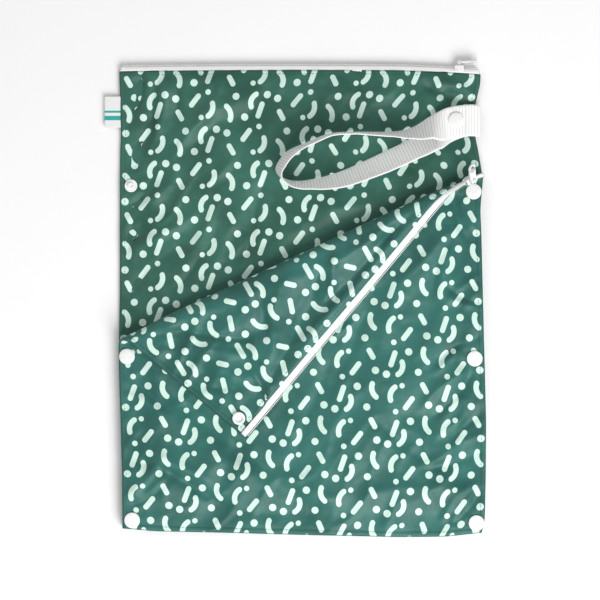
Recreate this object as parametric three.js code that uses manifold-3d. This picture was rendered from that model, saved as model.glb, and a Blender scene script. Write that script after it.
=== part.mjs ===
// A cloth wet bag of two zipped pouches snapped together and lying flat, in millimetres, +Z up.
// The origin is at the middle of the main bag's underside. +Y runs from the bottom seam to the zip.
import * as THREE from 'three';
import Module from 'manifold-3d';
import { mergeVertices } from 'three/addons/utils/BufferGeometryUtils.js';

const wasm = await Module();
wasm.setup();

// Sizes of the two pouches
const bagWidth = 287;
const mainHeight = 365.4;
const frontHeight = 283;
const clothWall = 1;
const mainHollow = 5.2;
const frontHollow = 3.4;
const seamBand = 17;
const seamSlope = 14;
const gap = 0.3;
const weldReach = 0.1;
const clothFacet = 19;
const mouthFacet = 16;
const rollFacet = 4;

// Fold of the front pouch's top left corner
const foldClear = 1.8;
const foldInset = 18.5;
const foldRadius = 7.4;
const foldFacets = 8;
const flapSettle = 36;

// How far from the crease, the flap and the strap the soft folds begin, and how fast they rise
const creaseClear = 6;
const creaseFade = 20;
const flapClear = 10;
const flapFade = 24;
const strapFade = 0.4;
const troughPlace = 1.6;
const troughDepth = 0.5;

// Zips
const mainZipReach = 3.6;
const frontZipReach = 4.6;
const zipTape = 0.8;
const zipTuck = 8;
const zipEdge = 1;
const zipEnd = 1;
const coilEnd = 3;
const coilDepth = 1.2;
const coilHalf = 0.9;
const sliderLength = 8;
const sliderWall = 0.9;
const mainSliderInset = 17;
const frontSliderInset = 16;

// Pull tabs
const pullLength = 15;
const pullTipWidth = 7;
const pullBaseWidth = 5.6;
const pullThick = 1.4;
const pullHole = 2.4;
const pinRadius = 0.7;
const pinLift = 2.2;
const knuckleRadius = 1.7;
const lugWidth = 1.6;
const mainPullLean = -88;
const frontPullLean = -72;
const frontPullTwist = 88;

// Snaps
const capRadius = 6.2;
const capThick = 1.5;
const capRim = 0.5;
const postRadius = 1.6;
const socketRadius = 5;
const socketThick = 2;
const socketDepth = 1.5;
const flangeThick = 0.8;
const knobRadius = 2.7;
const knobHeight = 1.3;
const snapSides = 10;

// Webbing strap
const webWidth = 25;
const webThick = 1.3;
const strapReach = 157.8;
const strapInset = 6;
const strapPlace = 0.477;
const strapFacets = 40;

// Side tag
const tagLength = 12;
const tagWidth = 25;
const tagThick = 0.9;
const tagDrop = 19.8;

// Heights worked out from the sizes above
const seamThick = 2 * clothWall;
const mainThick = mainHollow + 2 * clothWall;
const frontThick = frontHollow + 2 * clothWall;
const seamLift = capThick + gap;
const seamTop = seamLift + seamThick;
const snapStack = flangeThick + socketThick + 2 * gap;
const frontBase = Math.max(mainThick, seamTop + snapStack) + gap;
const strapLow = capThick + gap;
const strapHigh = strapLow + webThick + snapStack + gap;
const flapGap = capThick + 2 * gap;
const foldHalf = Math.PI * foldRadius / 2;
const tuckedEdge = seamBand + seamSlope;
const hollowEdge = seamBand + 2 * clothWall;
const strapDrop = strapPlace * (mainHeight - frontHeight - webWidth);

// Side edges of the bag: how far each leans off its straight line, in shares of bagWidth, to the right.
// The sway of the bottom and top edges fades out over these shares of the height.
const bottomSway = 0.333;
const topSway = 0.18;
const edgeSway = [
  { up: 0.00, left: 0.008, right: -0.007 },
  { up: 0.02, left: 0.008, right: 0.003 },
  { up: 0.12, left: 0.007, right: 0.006 },
  { up: 0.24, left: 0.003, right: 0.007 },
  { up: 0.37, left: -0.002, right: 0.003 },
  { up: 0.42, left: -0.003, right: 0.001 },
  { up: 0.52, left: 0.000, right: -0.002 },
  { up: 0.65, left: 0.000, right: -0.006 },
  { up: 0.70, left: 0.000, right: -0.009 },
  { up: 0.77, left: 0.000, right: -0.001 },
  { up: 0.83, left: 0.001, right: -0.014 },
  { up: 0.86, left: 0.003, right: -0.022 },
  { up: 0.93, left: 0.001, right: -0.022 },
  { up: 0.98, left: -0.001, right: -0.007 },
  { up: 1.00, left: -0.002, right: -0.007 },
];

// Bottom and top edges: how far each rises off its straight line, in shares of bagWidth
const endSway = [
  { across: 0.00, bottom: 0.015, top: -0.002 },
  { across: 0.09, bottom: 0.007, top: -0.001 },
  { across: 0.28, bottom: 0.003, top: 0.001 },
  { across: 0.50, bottom: -0.003, top: 0.002 },
  { across: 0.77, bottom: -0.009, top: 0.001 },
  { across: 0.90, bottom: -0.008, top: -0.004 },
  { across: 1.00, bottom: 0.003, top: -0.010 },
];

// Soft folds in the cloth. across, long and wide are shares of bagWidth, up is a share of the pouch's
// height, turn is in degrees from the width, and height is a share of the cloth wall.
const mainFolds = [
  { across: 0.04, up: 0.92, turn: 62, long: 0.10, wide: 0.022, height: 1.3 },
  { across: 0.11, up: 0.94, turn: 78, long: 0.08, wide: 0.020, height: 1.2 },
  { across: 0.24, up: 0.90, turn: 55, long: 0.14, wide: 0.040, height: 1.0 },
  { across: 0.22, up: 0.70, turn: 35, long: 0.20, wide: 0.050, height: 1.2 },
  { across: 0.40, up: 0.93, turn: 20, long: 0.15, wide: 0.035, height: 0.9 },
  { across: 0.66, up: 0.94, turn: 12, long: 0.20, wide: 0.030, height: 1.1 },
  { across: 0.96, up: 0.93, turn: 55, long: 0.06, wide: 0.020, height: 1.2 },
  { across: 0.10, up: 0.57, turn: 40, long: 0.12, wide: 0.040, height: 1.0 },
];
const frontFolds = [
  { across: 0.12, up: 0.40, turn: 50, long: 0.12, wide: 0.035, height: 1.1 },
  { across: 0.20, up: 0.22, turn: 40, long: 0.20, wide: 0.045, height: 1.2 },
  { across: 0.10, up: 0.08, turn: 45, long: 0.10, wide: 0.025, height: 1.0 },
  { across: 0.45, up: 0.20, turn: 35, long: 0.22, wide: 0.050, height: 1.1 },
  { across: 0.66, up: 0.36, turn: 55, long: 0.18, wide: 0.035, height: 1.3 },
  { across: 0.80, up: 0.60, turn: 62, long: 0.16, wide: 0.035, height: 1.2 },
  { across: 0.88, up: 0.48, turn: 20, long: 0.09, wide: 0.022, height: 1.0 },
  { across: 0.78, up: 0.14, turn: 30, long: 0.20, wide: 0.040, height: 1.1 },
  { across: 0.90, up: 0.08, turn: 50, long: 0.09, wide: 0.025, height: 1.0 },
];
const flapFolds = [
  { across: 0.20, up: 0.80, turn: -35, long: 0.14, wide: 0.035, height: 1.0 },
  { across: 0.45, up: 0.90, turn: -20, long: 0.16, wide: 0.035, height: 1.1 },
  { across: 0.66, up: 0.94, turn: 25, long: 0.12, wide: 0.025, height: 1.0 },
];

// Snaps that join the pouches. up is a share of frontHeight and inset a share of seamBand.
// The second one holds the side down where the fold begins.
const snapPlaces = [
  { side: 'left', up: 0.970, inset: 0.52 },
  { side: 'left', up: 0.494, inset: 0.39 },
  { side: 'left', up: 0.026, inset: 0.46 },
  { side: 'right', up: 0.953, inset: 0.39 },
  { side: 'right', up: 0.488, inset: 0.46 },
  { side: 'right', up: 0.030, inset: 0.39 },
];

// Path of the strap's lower edge, in shares of strapReach left of its seam and down from its start.
// turn is the way its upper edge points, in degrees from straight down, lean is how far the width stands
// up from lying flat, in degrees, and level is 1 on its stud's base and 2 on its closed snap.
const strapPath = [
  { out: -0.02, down: 0.000, turn: 0, lean: 0, level: 0 },
  { out: 0.05, down: 0.000, turn: 0, lean: 0, level: 1 },
  { out: 0.15, down: 0.035, turn: 6, lean: 0, level: 1 },
  { out: 0.23, down: 0.100, turn: 17, lean: 33, level: 0 },
  { out: 0.33, down: 0.170, turn: 23, lean: 46, level: 0 },
  { out: 0.48, down: 0.245, turn: 22, lean: 49, level: 0 },
  { out: 0.68, down: 0.335, turn: 17, lean: 58, level: 0 },
  { out: 0.83, down: 0.375, turn: 6, lean: 71, level: 0 },
  { out: 0.91, down: 0.380, turn: 0, lean: 76, level: 0 },
  { out: 0.965, down: 0.365, turn: 24, lean: 80, level: 0 },
  { out: 0.998, down: 0.330, turn: 50, lean: 76, level: 0 },
  { out: 0.990, down: 0.290, turn: 57, lean: 73, level: 0 },
  { out: 0.945, down: 0.235, turn: 60, lean: 73, level: 0 },
  { out: 0.86, down: 0.195, turn: 65, lean: 78, level: 0 },
  { out: 0.73, down: 0.145, turn: 15, lean: 83, level: 0 },
  { out: 0.60, down: 0.137, turn: 0, lean: 84, level: 0 },
  { out: 0.42, down: 0.135, turn: 11, lean: 78, level: 0 },
  { out: 0.32, down: 0.115, turn: 10, lean: 66, level: 0.9 },
  { out: 0.23, down: 0.060, turn: 6, lean: 43, level: 1.6 },
  { out: 0.15, down: 0.018, turn: 1, lean: 0, level: 2 },
  { out: 0.06, down: 0.002, turn: 0, lean: 0, level: 2 },
];
const strapSnapOut = 0.10;

// A value between the rows of a table
function tableAt(rows, key, column, at) {
  let low = rows[0];
  for (const high of rows) {
    if (at <= high[key]) {
      const span = high[key] - low[key];
      const share = span > 0 ? (at - low[key]) / span : 0;
      return THREE.MathUtils.lerp(low[column], high[column], THREE.MathUtils.clamp(share, 0, 1));
    }
    low = high;
  }
  return low[column];
}

// 0 on the sewn bands at the sides and the bottom, 1 over the hollow
function fullness(x, y) {
  const fromSide = Math.min(x, bagWidth - x) - seamBand;
  const fromBottom = y - seamBand;
  const side = THREE.MathUtils.clamp(fromSide / seamSlope, 0, 1);
  const bottom = THREE.MathUtils.clamp(fromBottom / seamSlope, 0, 1);
  return side * bottom;
}

// Sum of a table of soft folds at a place in a pouch
function foldsAt(rows, x, y, height) {
  let sum = 0;
  for (const row of rows) {
    const turn = THREE.MathUtils.degToRad(row.turn);
    const dx = x - row.across * bagWidth;
    const dy = y - row.up * height;
    const along = (dx * Math.cos(turn) + dy * Math.sin(turn)) / (row.long * bagWidth);
    const beside = (dy * Math.cos(turn) - dx * Math.sin(turn)) / (row.wide * bagWidth);
    const crest = Math.exp(-along * along - beside * beside);
    const trough = Math.exp(-along * along - (beside - troughPlace) * (beside - troughPlace));
    sum += row.height * clothWall * (crest - troughDepth * trough);
  }
  return sum;
}

// 0 at a pouch's mouth, 1 clear of its zip
function clearOfMouth(y, height) {
  return THREE.MathUtils.smoothstep(height - y, zipTuck, 3 * zipTuck);
}

// A place on the straight cloth moved to the swaying edges, in the object's frame
function swayed(x, y, z) {
  const across = x / bagWidth;
  const up = y / mainHeight;
  const left = tableAt(edgeSway, 'up', 'left', up);
  const right = tableAt(edgeSway, 'up', 'right', up);
  const bottomFade = THREE.MathUtils.clamp(1 - up / bottomSway, 0, 1);
  const topFade = THREE.MathUtils.clamp(1 + (up - 1) / topSway, 0, 1);
  const rise = tableAt(endSway, 'across', 'bottom', across) * bottomFade
    + tableAt(endSway, 'across', 'top', across) * topFade;
  return new THREE.Vector3(
    x + bagWidth * (THREE.MathUtils.lerp(left, right, across) - 0.5),
    y + bagWidth * rise - mainHeight / 2,
    z,
  );
}

// The crease of the folded corner on the straight cloth, with an along and an over direction
const foldHeight = snapPlaces[1].up * frontHeight + capRadius + foldHalf + foldClear;
const creaseStart = new THREE.Vector2(0, foldHeight);
const creaseEnd = new THREE.Vector2(bagWidth - foldInset, frontHeight);
const creaseAlong = creaseEnd.clone().sub(creaseStart).normalize();
const creaseOver = new THREE.Vector2(-creaseAlong.y, creaseAlong.x);

// Distance of a place past the crease, on the straight cloth
function pastCrease(x, y) {
  return (x - creaseStart.x) * creaseOver.x + (y - creaseStart.y) * creaseOver.y;
}

// A place in the front pouch, w above its back cloth, rolled over the crease
function placeFront(x, y, w) {
  const over = pastCrease(x, y);
  const settled = THREE.MathUtils.smoothstep(over - foldHalf, 0, flapSettle);
  let reach = over;
  let rise = w;
  if (over > foldHalf) {
    reach = -over;
    rise = 2 * foldRadius - w - settled * (2 * foldRadius - 2 * frontThick - flapGap);
  } else if (over > -foldHalf) {
    const angle = (over + foldHalf) / foldRadius;
    reach = (foldRadius - w) * Math.sin(angle) - foldHalf;
    rise = foldRadius - (foldRadius - w) * Math.cos(angle);
  }
  const moved = reach - over;
  return swayed(x + moved * creaseOver.x, y + moved * creaseOver.y, rise + frontBase);
}

// A place in the main pouch at a height above the ground
function placeMain(x, y, z) {
  return swayed(x, y, z);
}

// Folds of the main pouch's front cloth, on its bare part and clear of the strap
function mainFoldsAt(x, y) {
  const spot = swayed(x, y, 0);
  const bare = THREE.MathUtils.smoothstep(pastCrease(x, y), creaseClear, creaseClear + creaseFade);
  const strapMiddle = (bagWidth - strapReach) / 2;
  const strapUp = mainHeight / 2 - strapDrop - webWidth;
  const besideStrap = (spot.x - strapMiddle) / (strapReach * 0.6);
  const aboveStrap = (spot.y - strapUp) / (webWidth * 1.5);
  const fromStrap = Math.hypot(besideStrap, aboveStrap);
  const free = THREE.MathUtils.smoothstep(fromStrap, 1, 1 + strapFade);
  const loose = clearOfMouth(y, mainHeight) * fullness(x, y);
  return foldsAt(mainFolds, x, y, mainHeight) * bare * free * loose;
}

// Underside and top of the main pouch
function mainUnder(x, y) {
  return seamLift * (1 - fullness(x, y));
}
function mainOver(x, y) {
  return THREE.MathUtils.lerp(seamTop, mainThick, fullness(x, y)) + mainFoldsAt(x, y);
}

// Folds of the front pouch: on its front below the flap, and on its back where the flap shows it
function frontFoldsAt(x, y) {
  const over = pastCrease(x, y);
  const beyondMouth = y - 2 * over * creaseOver.y - frontHeight;
  const beyondSide = 2 * over * creaseOver.x - x;
  const beyond = Math.max(beyondMouth, beyondSide);
  const bare = THREE.MathUtils.smoothstep(beyond, flapClear, flapClear + flapFade);
  const loose = clearOfMouth(y, frontHeight) * fullness(x, y);
  return over < -foldHalf ? foldsAt(frontFolds, x, y, frontHeight) * bare * loose : 0;
}
function flapFoldsAt(x, y) {
  const bare = THREE.MathUtils.smoothstep(pastCrease(x, y) - foldHalf, 0, creaseFade);
  const loose = clearOfMouth(y, frontHeight) * fullness(x, y);
  return foldsAt(flapFolds, x, y, frontHeight) * bare * loose;
}
function frontLocalThick(x, y) {
  return THREE.MathUtils.lerp(seamThick, frontThick, fullness(x, y));
}
function frontUnder(x, y) {
  const turned = THREE.MathUtils.smoothstep(pastCrease(x, y), -foldHalf, foldHalf);
  return turned * (frontThick - frontLocalThick(x, y)) - flapFoldsAt(x, y);
}
function frontOver(x, y) {
  return frontUnder(x, y) + flapFoldsAt(x, y) + frontLocalThick(x, y) + frontFoldsAt(x, y);
}

// Both parts of a convex cell that a line a x + b y = c cuts
function splitCell(cell, a, b, c) {
  const sides = cell.map(([x, y]) => a * x + b * y - c);
  const below = [];
  const above = [];
  cell.forEach((point, i) => {
    const next = (i + 1) % cell.length;
    if (sides[i] < 1e-6) below.push(point);
    if (sides[i] > -1e-6) above.push(point);
    if (Math.abs(sides[i]) > 1e-6 && Math.abs(sides[next]) > 1e-6 && sides[i] * sides[next] < 0) {
      const share = sides[i] / (sides[i] - sides[next]);
      const cut = [0, 1].map((k) => point[k] + (cell[next][k] - point[k]) * share);
      below.push(cut);
      above.push(cut);
    }
  });
  return [below, above];
}

function polygonArea(cell) {
  return cell.reduce((sum, [x, y], i) => {
    const [nextX, nextY] = cell[(i + 1) % cell.length];
    return sum + (x * nextY - nextX * y) / 2;
  }, 0);
}

// A rectangle of cloth cut into cells by a list of lines
function cutCells(left, bottom, right, top, lines) {
  let cells = [[[left, bottom], [right, bottom], [right, top], [left, top]]];
  for (const [a, b, c] of lines) {
    cells = cells.flatMap((cell) => splitCell(cell, a, b, c)).filter((cell) => {
      return cell.length > 2 && polygonArea(cell) > 1e-3;
    });
  }
  return cells;
}

// Evenly spaced stops between two ends, both left out
function stopsBetween(from, to, step) {
  const count = Math.max(1, Math.round((to - from) / step));
  return Array.from({ length: count - 1 }, (_, i) => from + (to - from) * (i + 1) / count);
}

// Lines down the cloth: the seam bands, the slopes inside them and even stops between
function columnLines() {
  const inner = stopsBetween(tuckedEdge, bagWidth - tuckedEdge, clothFacet);
  const stops = [seamBand, tuckedEdge, ...inner, bagWidth - tuckedEdge, bagWidth - seamBand];
  return stops.map((x) => [1, 0, x]);
}
function bandLines() {
  return [seamBand, tuckedEdge].map((y) => [0, 1, y]);
}
function mainLines() {
  const rows = stopsBetween(tuckedEdge, mainHeight, clothFacet).map((y) => [0, 1, y]);
  return [...columnLines(), ...bandLines(), ...rows];
}

// Lines along the crease of the front pouch, close together in the roll
function frontLines() {
  const lowest = pastCrease(bagWidth, 0);
  const highest = pastCrease(0, frontHeight);
  const offsets = [
    ...stopsBetween(lowest, -foldHalf, clothFacet),
    -foldHalf,
    ...stopsBetween(-foldHalf, foldHalf, 2 * foldHalf / foldFacets),
    foldHalf,
    ...stopsBetween(foldHalf, highest, clothFacet),
  ];
  const start = creaseOver.dot(creaseStart);
  const rolls = offsets.map((offset) => [creaseOver.x, creaseOver.y, offset + start]);
  return [...columnLines(), ...bandLines(), ...rolls];
}

// Puts the fan of a cell's triangles at its fullest corner
function fannedCell(cell) {
  let best = 0;
  cell.forEach(([x, y], i) => {
    if (fullness(x, y) > fullness(...cell[best]) + 1e-6) best = i;
  });
  return [...cell.slice(best), ...cell.slice(0, best)];
}

// A closed skin over cells, between an under and an over surface
function skin(cells, under, over, place) {
  const positions = [];
  const edges = new Map();
  const key = ([x, y]) => `${x.toFixed(3)} ${y.toFixed(3)}`;
  const low = ([x, y]) => place(x, y, under(x, y));
  const high = ([x, y]) => place(x, y, over(x, y));
  const face = (...corners) => corners.forEach((corner) => positions.push(...corner.toArray()));
  for (const cell of cells.map(fannedCell)) {
    for (let i = 1; i < cell.length - 1; i += 1) {
      face(high(cell[0]), high(cell[i]), high(cell[i + 1]));
      face(low(cell[0]), low(cell[i + 1]), low(cell[i]));
    }
    cell.forEach((point, i) => {
      const next = cell[(i + 1) % cell.length];
      const back = `${key(next)} ${key(point)}`;
      if (edges.has(back)) edges.delete(back);
      else edges.set(`${key(point)} ${key(next)}`, [point, next]);
    });
  }
  for (const [from, to] of edges.values()) {
    face(low(from), low(to), high(to));
    face(low(from), high(to), high(from));
  }
  return geometryOf(positions);
}

function geometryOf(positions) {
  const geometry = new THREE.BufferGeometry();
  geometry.setAttribute('position', new THREE.Float32BufferAttribute(positions, 3));
  return geometry;
}

// A closed body through rings of points, whose two sides are cut along the same diagonals
function loft(rings) {
  const positions = [];
  const face = (...corners) => corners.forEach((corner) => positions.push(...corner.toArray()));
  const count = rings[0].length;
  for (let i = 0; i < rings.length - 1; i += 1) {
    for (let k = 0; k < count; k += 1) {
      const next = (k + 1) % count;
      const quad = [rings[i][k], rings[i][next], rings[i + 1][next], rings[i + 1][k]];
      if (k >= count / 2) quad.push(quad.shift());
      face(quad[0], quad[1], quad[2]);
      face(quad[0], quad[2], quad[3]);
    }
  }
  return { positions, face };
}

// Stops along a mouth between two ends, close together where it rolls over the crease
function mouthStops(pouch, from, to) {
  const rollStart = Math.max(from, Math.min(to, pouch.rollStart));
  const even = rollStart > from ? [from, ...stopsBetween(from, rollStart, mouthFacet)] : [];
  const close = rollStart < to ? [rollStart, ...stopsBetween(rollStart, to, rollFacet)] : [];
  return [...even, ...close, to];
}

// A section of points [v, w] swept along a mouth, v beyond its edge and w from its middle
function mouthSweep(pouch, section, from, to) {
  const rings = mouthStops(pouch, from, to).map((x) => {
    return section.map(([v, w]) => pouch.place(x, pouch.height + v, pouch.middle + w));
  });
  const { positions, face } = loft(rings);
  const last = rings[rings.length - 1];
  const outline = section.map(([v, w]) => new THREE.Vector2(v, w));
  for (const [a, b, c] of THREE.ShapeUtils.triangulateShape(outline, [])) {
    face(rings[0][a], rings[0][c], rings[0][b]);
    face(last[a], last[b], last[c]);
  }
  return solidOf(geometryOf(positions));
}

// Closed geometry to a solid that can be cut and joined, turned outward where it faces in
function solidOf(geometry, matrix = new THREE.Matrix4()) {
  const bare = new THREE.BufferGeometry();
  const flat = geometry.index ? geometry.toNonIndexed() : geometry;
  bare.setAttribute('position', flat.getAttribute('position').clone());
  bare.applyMatrix4(matrix);
  const merged = mergeVertices(bare, 1e-4);
  const vertProperties = new Float32Array(merged.getAttribute('position').array);
  const corners = Array.from(merged.index.array);
  const triVerts = [];
  let volume = 0;
  const at = (i) => new THREE.Vector3().fromArray(vertProperties, 3 * i);
  for (let i = 0; i < corners.length; i += 3) {
    const [a, b, c] = corners.slice(i, i + 3);
    if (a === b || b === c || c === a) continue;
    triVerts.push(a, b, c);
    volume += at(a).dot(at(b).cross(at(c)));
  }
  if (volume < 0) triVerts.reverse();
  return new wasm.Manifold(new wasm.Mesh({
    numProp: 3,
    vertProperties,
    triVerts: new Uint32Array(triVerts),
  }));
}

// A solid back to geometry, with the corners that cutting leaves closer than weldReach made one
function geometryFrom(solid) {
  const mesh = solid.getMesh();
  const kept = [];
  const target = [];
  for (let i = 0; i < mesh.vertProperties.length; i += 3) {
    const point = new THREE.Vector3().fromArray(mesh.vertProperties, i);
    let place = kept.findIndex((other) => other.distanceTo(point) < weldReach);
    if (place < 0) place = kept.push(point) - 1;
    target.push(place);
  }
  const corners = [];
  for (let i = 0; i < mesh.triVerts.length; i += 3) {
    const [a, b, c] = [0, 1, 2].map((k) => target[mesh.triVerts[i + k]]);
    if (a !== b && b !== c && c !== a) corners.push(a, b, c);
  }
  const geometry = new THREE.BufferGeometry().setFromPoints(kept);
  geometry.setIndex(corners);
  geometry.computeVertexNormals();
  return geometry;
}

// A frame at a point, with its Z along one direction and its X near another
function frameAt(point, along, across) {
  const z = along.clone().normalize();
  const x = across.clone().addScaledVector(z, -across.dot(z)).normalize();
  const y = z.clone().cross(x);
  return new THREE.Matrix4().makeBasis(x, y, z).setPosition(point);
}

// A round bar on the Z axis of a frame, from one height to another
function roundBar(radius, from, to, frame) {
  const geometry = new THREE.CylinderGeometry(radius, radius, to - from, snapSides);
  geometry.rotateX(Math.PI / 2).translate(0, 0, (from + to) / 2);
  return solidOf(geometry, frame);
}
function block(width, depth, height, x, y, z, frame) {
  const geometry = new THREE.BoxGeometry(width, depth, height);
  geometry.translate(x, y, z);
  return solidOf(geometry, frame);
}
function turned(profile, frame) {
  const points = profile.map(([radius, z]) => new THREE.Vector2(radius, z));
  const geometry = new THREE.LatheGeometry(points, snapSides).rotateX(Math.PI / 2);
  return solidOf(geometry, frame);
}

// Materials
const clothMaterial = new THREE.MeshStandardMaterial({ color: '#42726a', roughness: 0.55 });
const mainClothMaterial = new THREE.MeshStandardMaterial({ color: '#436a5b', roughness: 0.55 });
const tapeMaterial = new THREE.MeshStandardMaterial({ color: '#f4f6f4', roughness: 0.8 });
const coilMaterial = new THREE.MeshStandardMaterial({ color: '#eef0ee', roughness: 0.45 });
const plasticMaterial = new THREE.MeshStandardMaterial({ color: '#f7f9f6', roughness: 0.3 });
const webbingMaterial = new THREE.MeshStandardMaterial({ color: '#e6e6e2', roughness: 0.75 });
const tagMaterial = new THREE.MeshStandardMaterial({ color: '#f2f4f3', roughness: 0.7 });

const wetBag = new THREE.Group();

function addPiece(name, solid, material) {
  const mesh = new THREE.Mesh(geometryFrom(solid), material);
  mesh.name = name;
  wetBag.add(mesh);
}

// A pouch's hollow shell, open at its mouth, with a hole for each snap post
function pouchShell(pouch, lines, under, over, holes) {
  const outer = cutCells(0, 0, bagWidth, pouch.height, lines);
  const open = pouch.height + zipTuck;
  const inner = cutCells(hollowEdge, hollowEdge, bagWidth - hollowEdge, open, lines);
  const innerUnder = (x, y) => under(x, Math.min(y, pouch.height)) + clothWall;
  const innerOver = (x, y) => over(x, Math.min(y, pouch.height)) - clothWall;
  let shell = solidOf(skin(outer, under, over, pouch.place));
  shell = shell.subtract(solidOf(skin(inner, innerUnder, innerOver, pouch.place)));
  for (const frame of holes) {
    shell = shell.subtract(roundBar(postRadius + gap, -mainThick, mainThick, frame));
  }
  return shell;
}

const mainPouch = {
  height: mainHeight,
  place: placeMain,
  middle: mainThick / 2,
  hollow: mainHollow,
  reach: mainZipReach,
  rollStart: bagWidth,
};
const frontPouch = {
  height: frontHeight,
  place: placeFront,
  middle: frontThick / 2,
  hollow: frontHollow,
  reach: frontZipReach,
  rollStart: bagWidth - foldInset - (foldHalf + zipTuck) / -creaseOver.x,
};

// Where a snap goes through the sewn band, in the pouch's own coordinates
function snapSpot({ side, up, inset }) {
  const fromEdge = inset * seamBand;
  return [side === 'left' ? fromEdge : bagWidth - fromEdge, up * frontHeight];
}
function mainSnapFrame(place) {
  const [x, y] = snapSpot(place);
  const point = placeMain(x, y, seamTop);
  return frameAt(point, new THREE.Vector3(0, 0, 1), new THREE.Vector3(1, 0, 0));
}
function frontSnapFrame(place) {
  const [x, y] = snapSpot(place);
  const back = frontUnder(x, y);
  const point = placeFront(x, y, back);
  const way = placeFront(x, y, back + 1).sub(point);
  return frameAt(point, way, new THREE.Vector3(1, 0, 0));
}

// Stud: a knob on the cloth's front, a post through it and a domed base behind, from its top face
function studSolid(frame, cloth) {
  const base = -cloth - gap;
  return turned([
    [0, base - capThick],
    [capRadius * 0.7, base - capThick],
    [capRadius, base - capRim],
    [capRadius, base],
    [postRadius, base],
    [postRadius, gap],
    [socketRadius, gap],
    [socketRadius, gap + flangeThick],
    [knobRadius * 0.85, gap + flangeThick],
    [knobRadius, gap + flangeThick + knobHeight],
    [0, gap + flangeThick + knobHeight],
  ], frame);
}

// Cap: a dome on the cloth's front, a post through it and a socket behind, from the cloth's back
function capSolid(frame, cloth) {
  const socketTop = -gap;
  const socketFoot = socketTop - socketThick;
  const capFoot = cloth + gap;
  return turned([
    [0, socketFoot + socketDepth],
    [knobRadius + gap, socketFoot + socketDepth],
    [knobRadius + gap, socketFoot],
    [socketRadius, socketFoot],
    [socketRadius, socketTop],
    [postRadius, socketTop],
    [postRadius, capFoot],
    [capRadius, capFoot],
    [capRadius, capFoot + capRim],
    [capRadius * 0.7, capFoot + capThick],
    [0, capFoot + capThick],
  ], frame);
}

// The two pouches
const mainHoles = snapPlaces.map(mainSnapFrame);
const frontHoles = snapPlaces.map(frontSnapFrame);
const mainShell = pouchShell(mainPouch, mainLines(), mainUnder, mainOver, mainHoles);
const frontShell = pouchShell(frontPouch, frontLines(), frontUnder, frontOver, frontHoles);
addPiece('main_bag', mainShell, mainClothMaterial);
addPiece('front_bag', frontShell, clothMaterial);

// Snaps
snapPlaces.forEach((place, i) => {
  addPiece(`main_stud_${i + 1}`, studSolid(mainHoles[i], seamThick), plasticMaterial);
  addPiece(`front_snap_${i + 1}`, capSolid(frontHoles[i], seamThick), plasticMaterial);
});

// Zip tape: a nose beyond the mouth and two legs tucked between the cloths
function zipTapeSolid(pouch) {
  const legOut = pouch.hollow / 2 - 2 * gap;
  const legIn = legOut - zipTape;
  const nose = mouthSweep(pouch, [
    [gap, -legOut], [pouch.reach, -zipEdge], [pouch.reach, zipEdge], [gap, legOut],
  ], zipEnd, bagWidth - zipEnd);
  const legTop = legOut - zipTape / 2;
  const legStart = tuckedEdge + 2 * clothWall;
  const legEnd = Math.min(bagWidth - legStart, pouch.rollStart);
  const leg = [[-zipTuck, legIn], [2 * gap, legIn], [2 * gap, legTop], [-zipTuck, legOut]];
  const otherLeg = leg.map(([v, w]) => [v, -w]).reverse();
  return [leg, otherLeg].reduce((tape, section) => {
    return tape.add(mouthSweep(pouch, section, legStart, legEnd));
  }, nose);
}

// Zip coil: a half-round bead on the nose
function zipCoilSolid(pouch) {
  const foot = pouch.reach + gap;
  return mouthSweep(pouch, [
    [foot, -coilHalf], [foot + coilDepth * 0.8, -coilHalf * 0.6], [foot + coilDepth, 0],
    [foot + coilDepth * 0.8, coilHalf * 0.6], [foot, coilHalf],
  ], coilEnd, bagWidth - coilEnd);
}

// Where a slider rides: its pin, the way out of the mouth and the pin's direction
function sliderFrame(pouch, inset, twist) {
  const x = bagWidth - inset;
  const y = pouch.height + pouch.reach;
  const { middle } = pouch;
  const point = pouch.place(x, y, middle);
  const out = pouch.place(x, y + 0.5, middle).sub(pouch.place(x, y - 0.5, middle)).normalize();
  const along = pouch.place(x + 0.5, y, middle).sub(pouch.place(x - 0.5, y, middle)).normalize();
  const pin = along.cross(out).normalize();
  pin.applyAxisAngle(out, THREE.MathUtils.degToRad(twist));
  const top = gap + coilDepth + gap + sliderWall;
  return frameAt(point.addScaledVector(out, top + pinLift), pin, out);
}

// Slider: a channel around the nose and coil, with a lug and a pin on its outer side
function sliderSolid(pouch, inset, twist) {
  const x = bagWidth - inset;
  const inside = Math.max(pouch.hollow / 2, coilHalf + gap);
  const outside = inside + sliderWall;
  const ceiling = pouch.reach + gap + coilDepth + gap;
  const channel = mouthSweep(pouch, [
    [gap * 3, -outside], [ceiling + sliderWall, -outside], [ceiling + sliderWall, outside],
    [gap * 3, outside], [gap * 3, inside], [ceiling, inside], [ceiling, -inside], [gap * 3, -inside],
  ], x - sliderLength / 2, x + sliderLength / 2);
  const frame = sliderFrame(pouch, inset, twist);
  const lugLength = pinLift + knuckleRadius * 0.6 + sliderWall * 0.5;
  const lugMiddle = knuckleRadius * 0.6 - lugLength / 2;
  const lug = block(lugLength, knuckleRadius * 1.4, lugWidth, lugMiddle, 0, 0, frame);
  const pin = roundBar(pinRadius, -pullBaseWidth * 0.45, pullBaseWidth * 0.45, frame);
  return channel.add(lug).add(pin);
}

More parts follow.
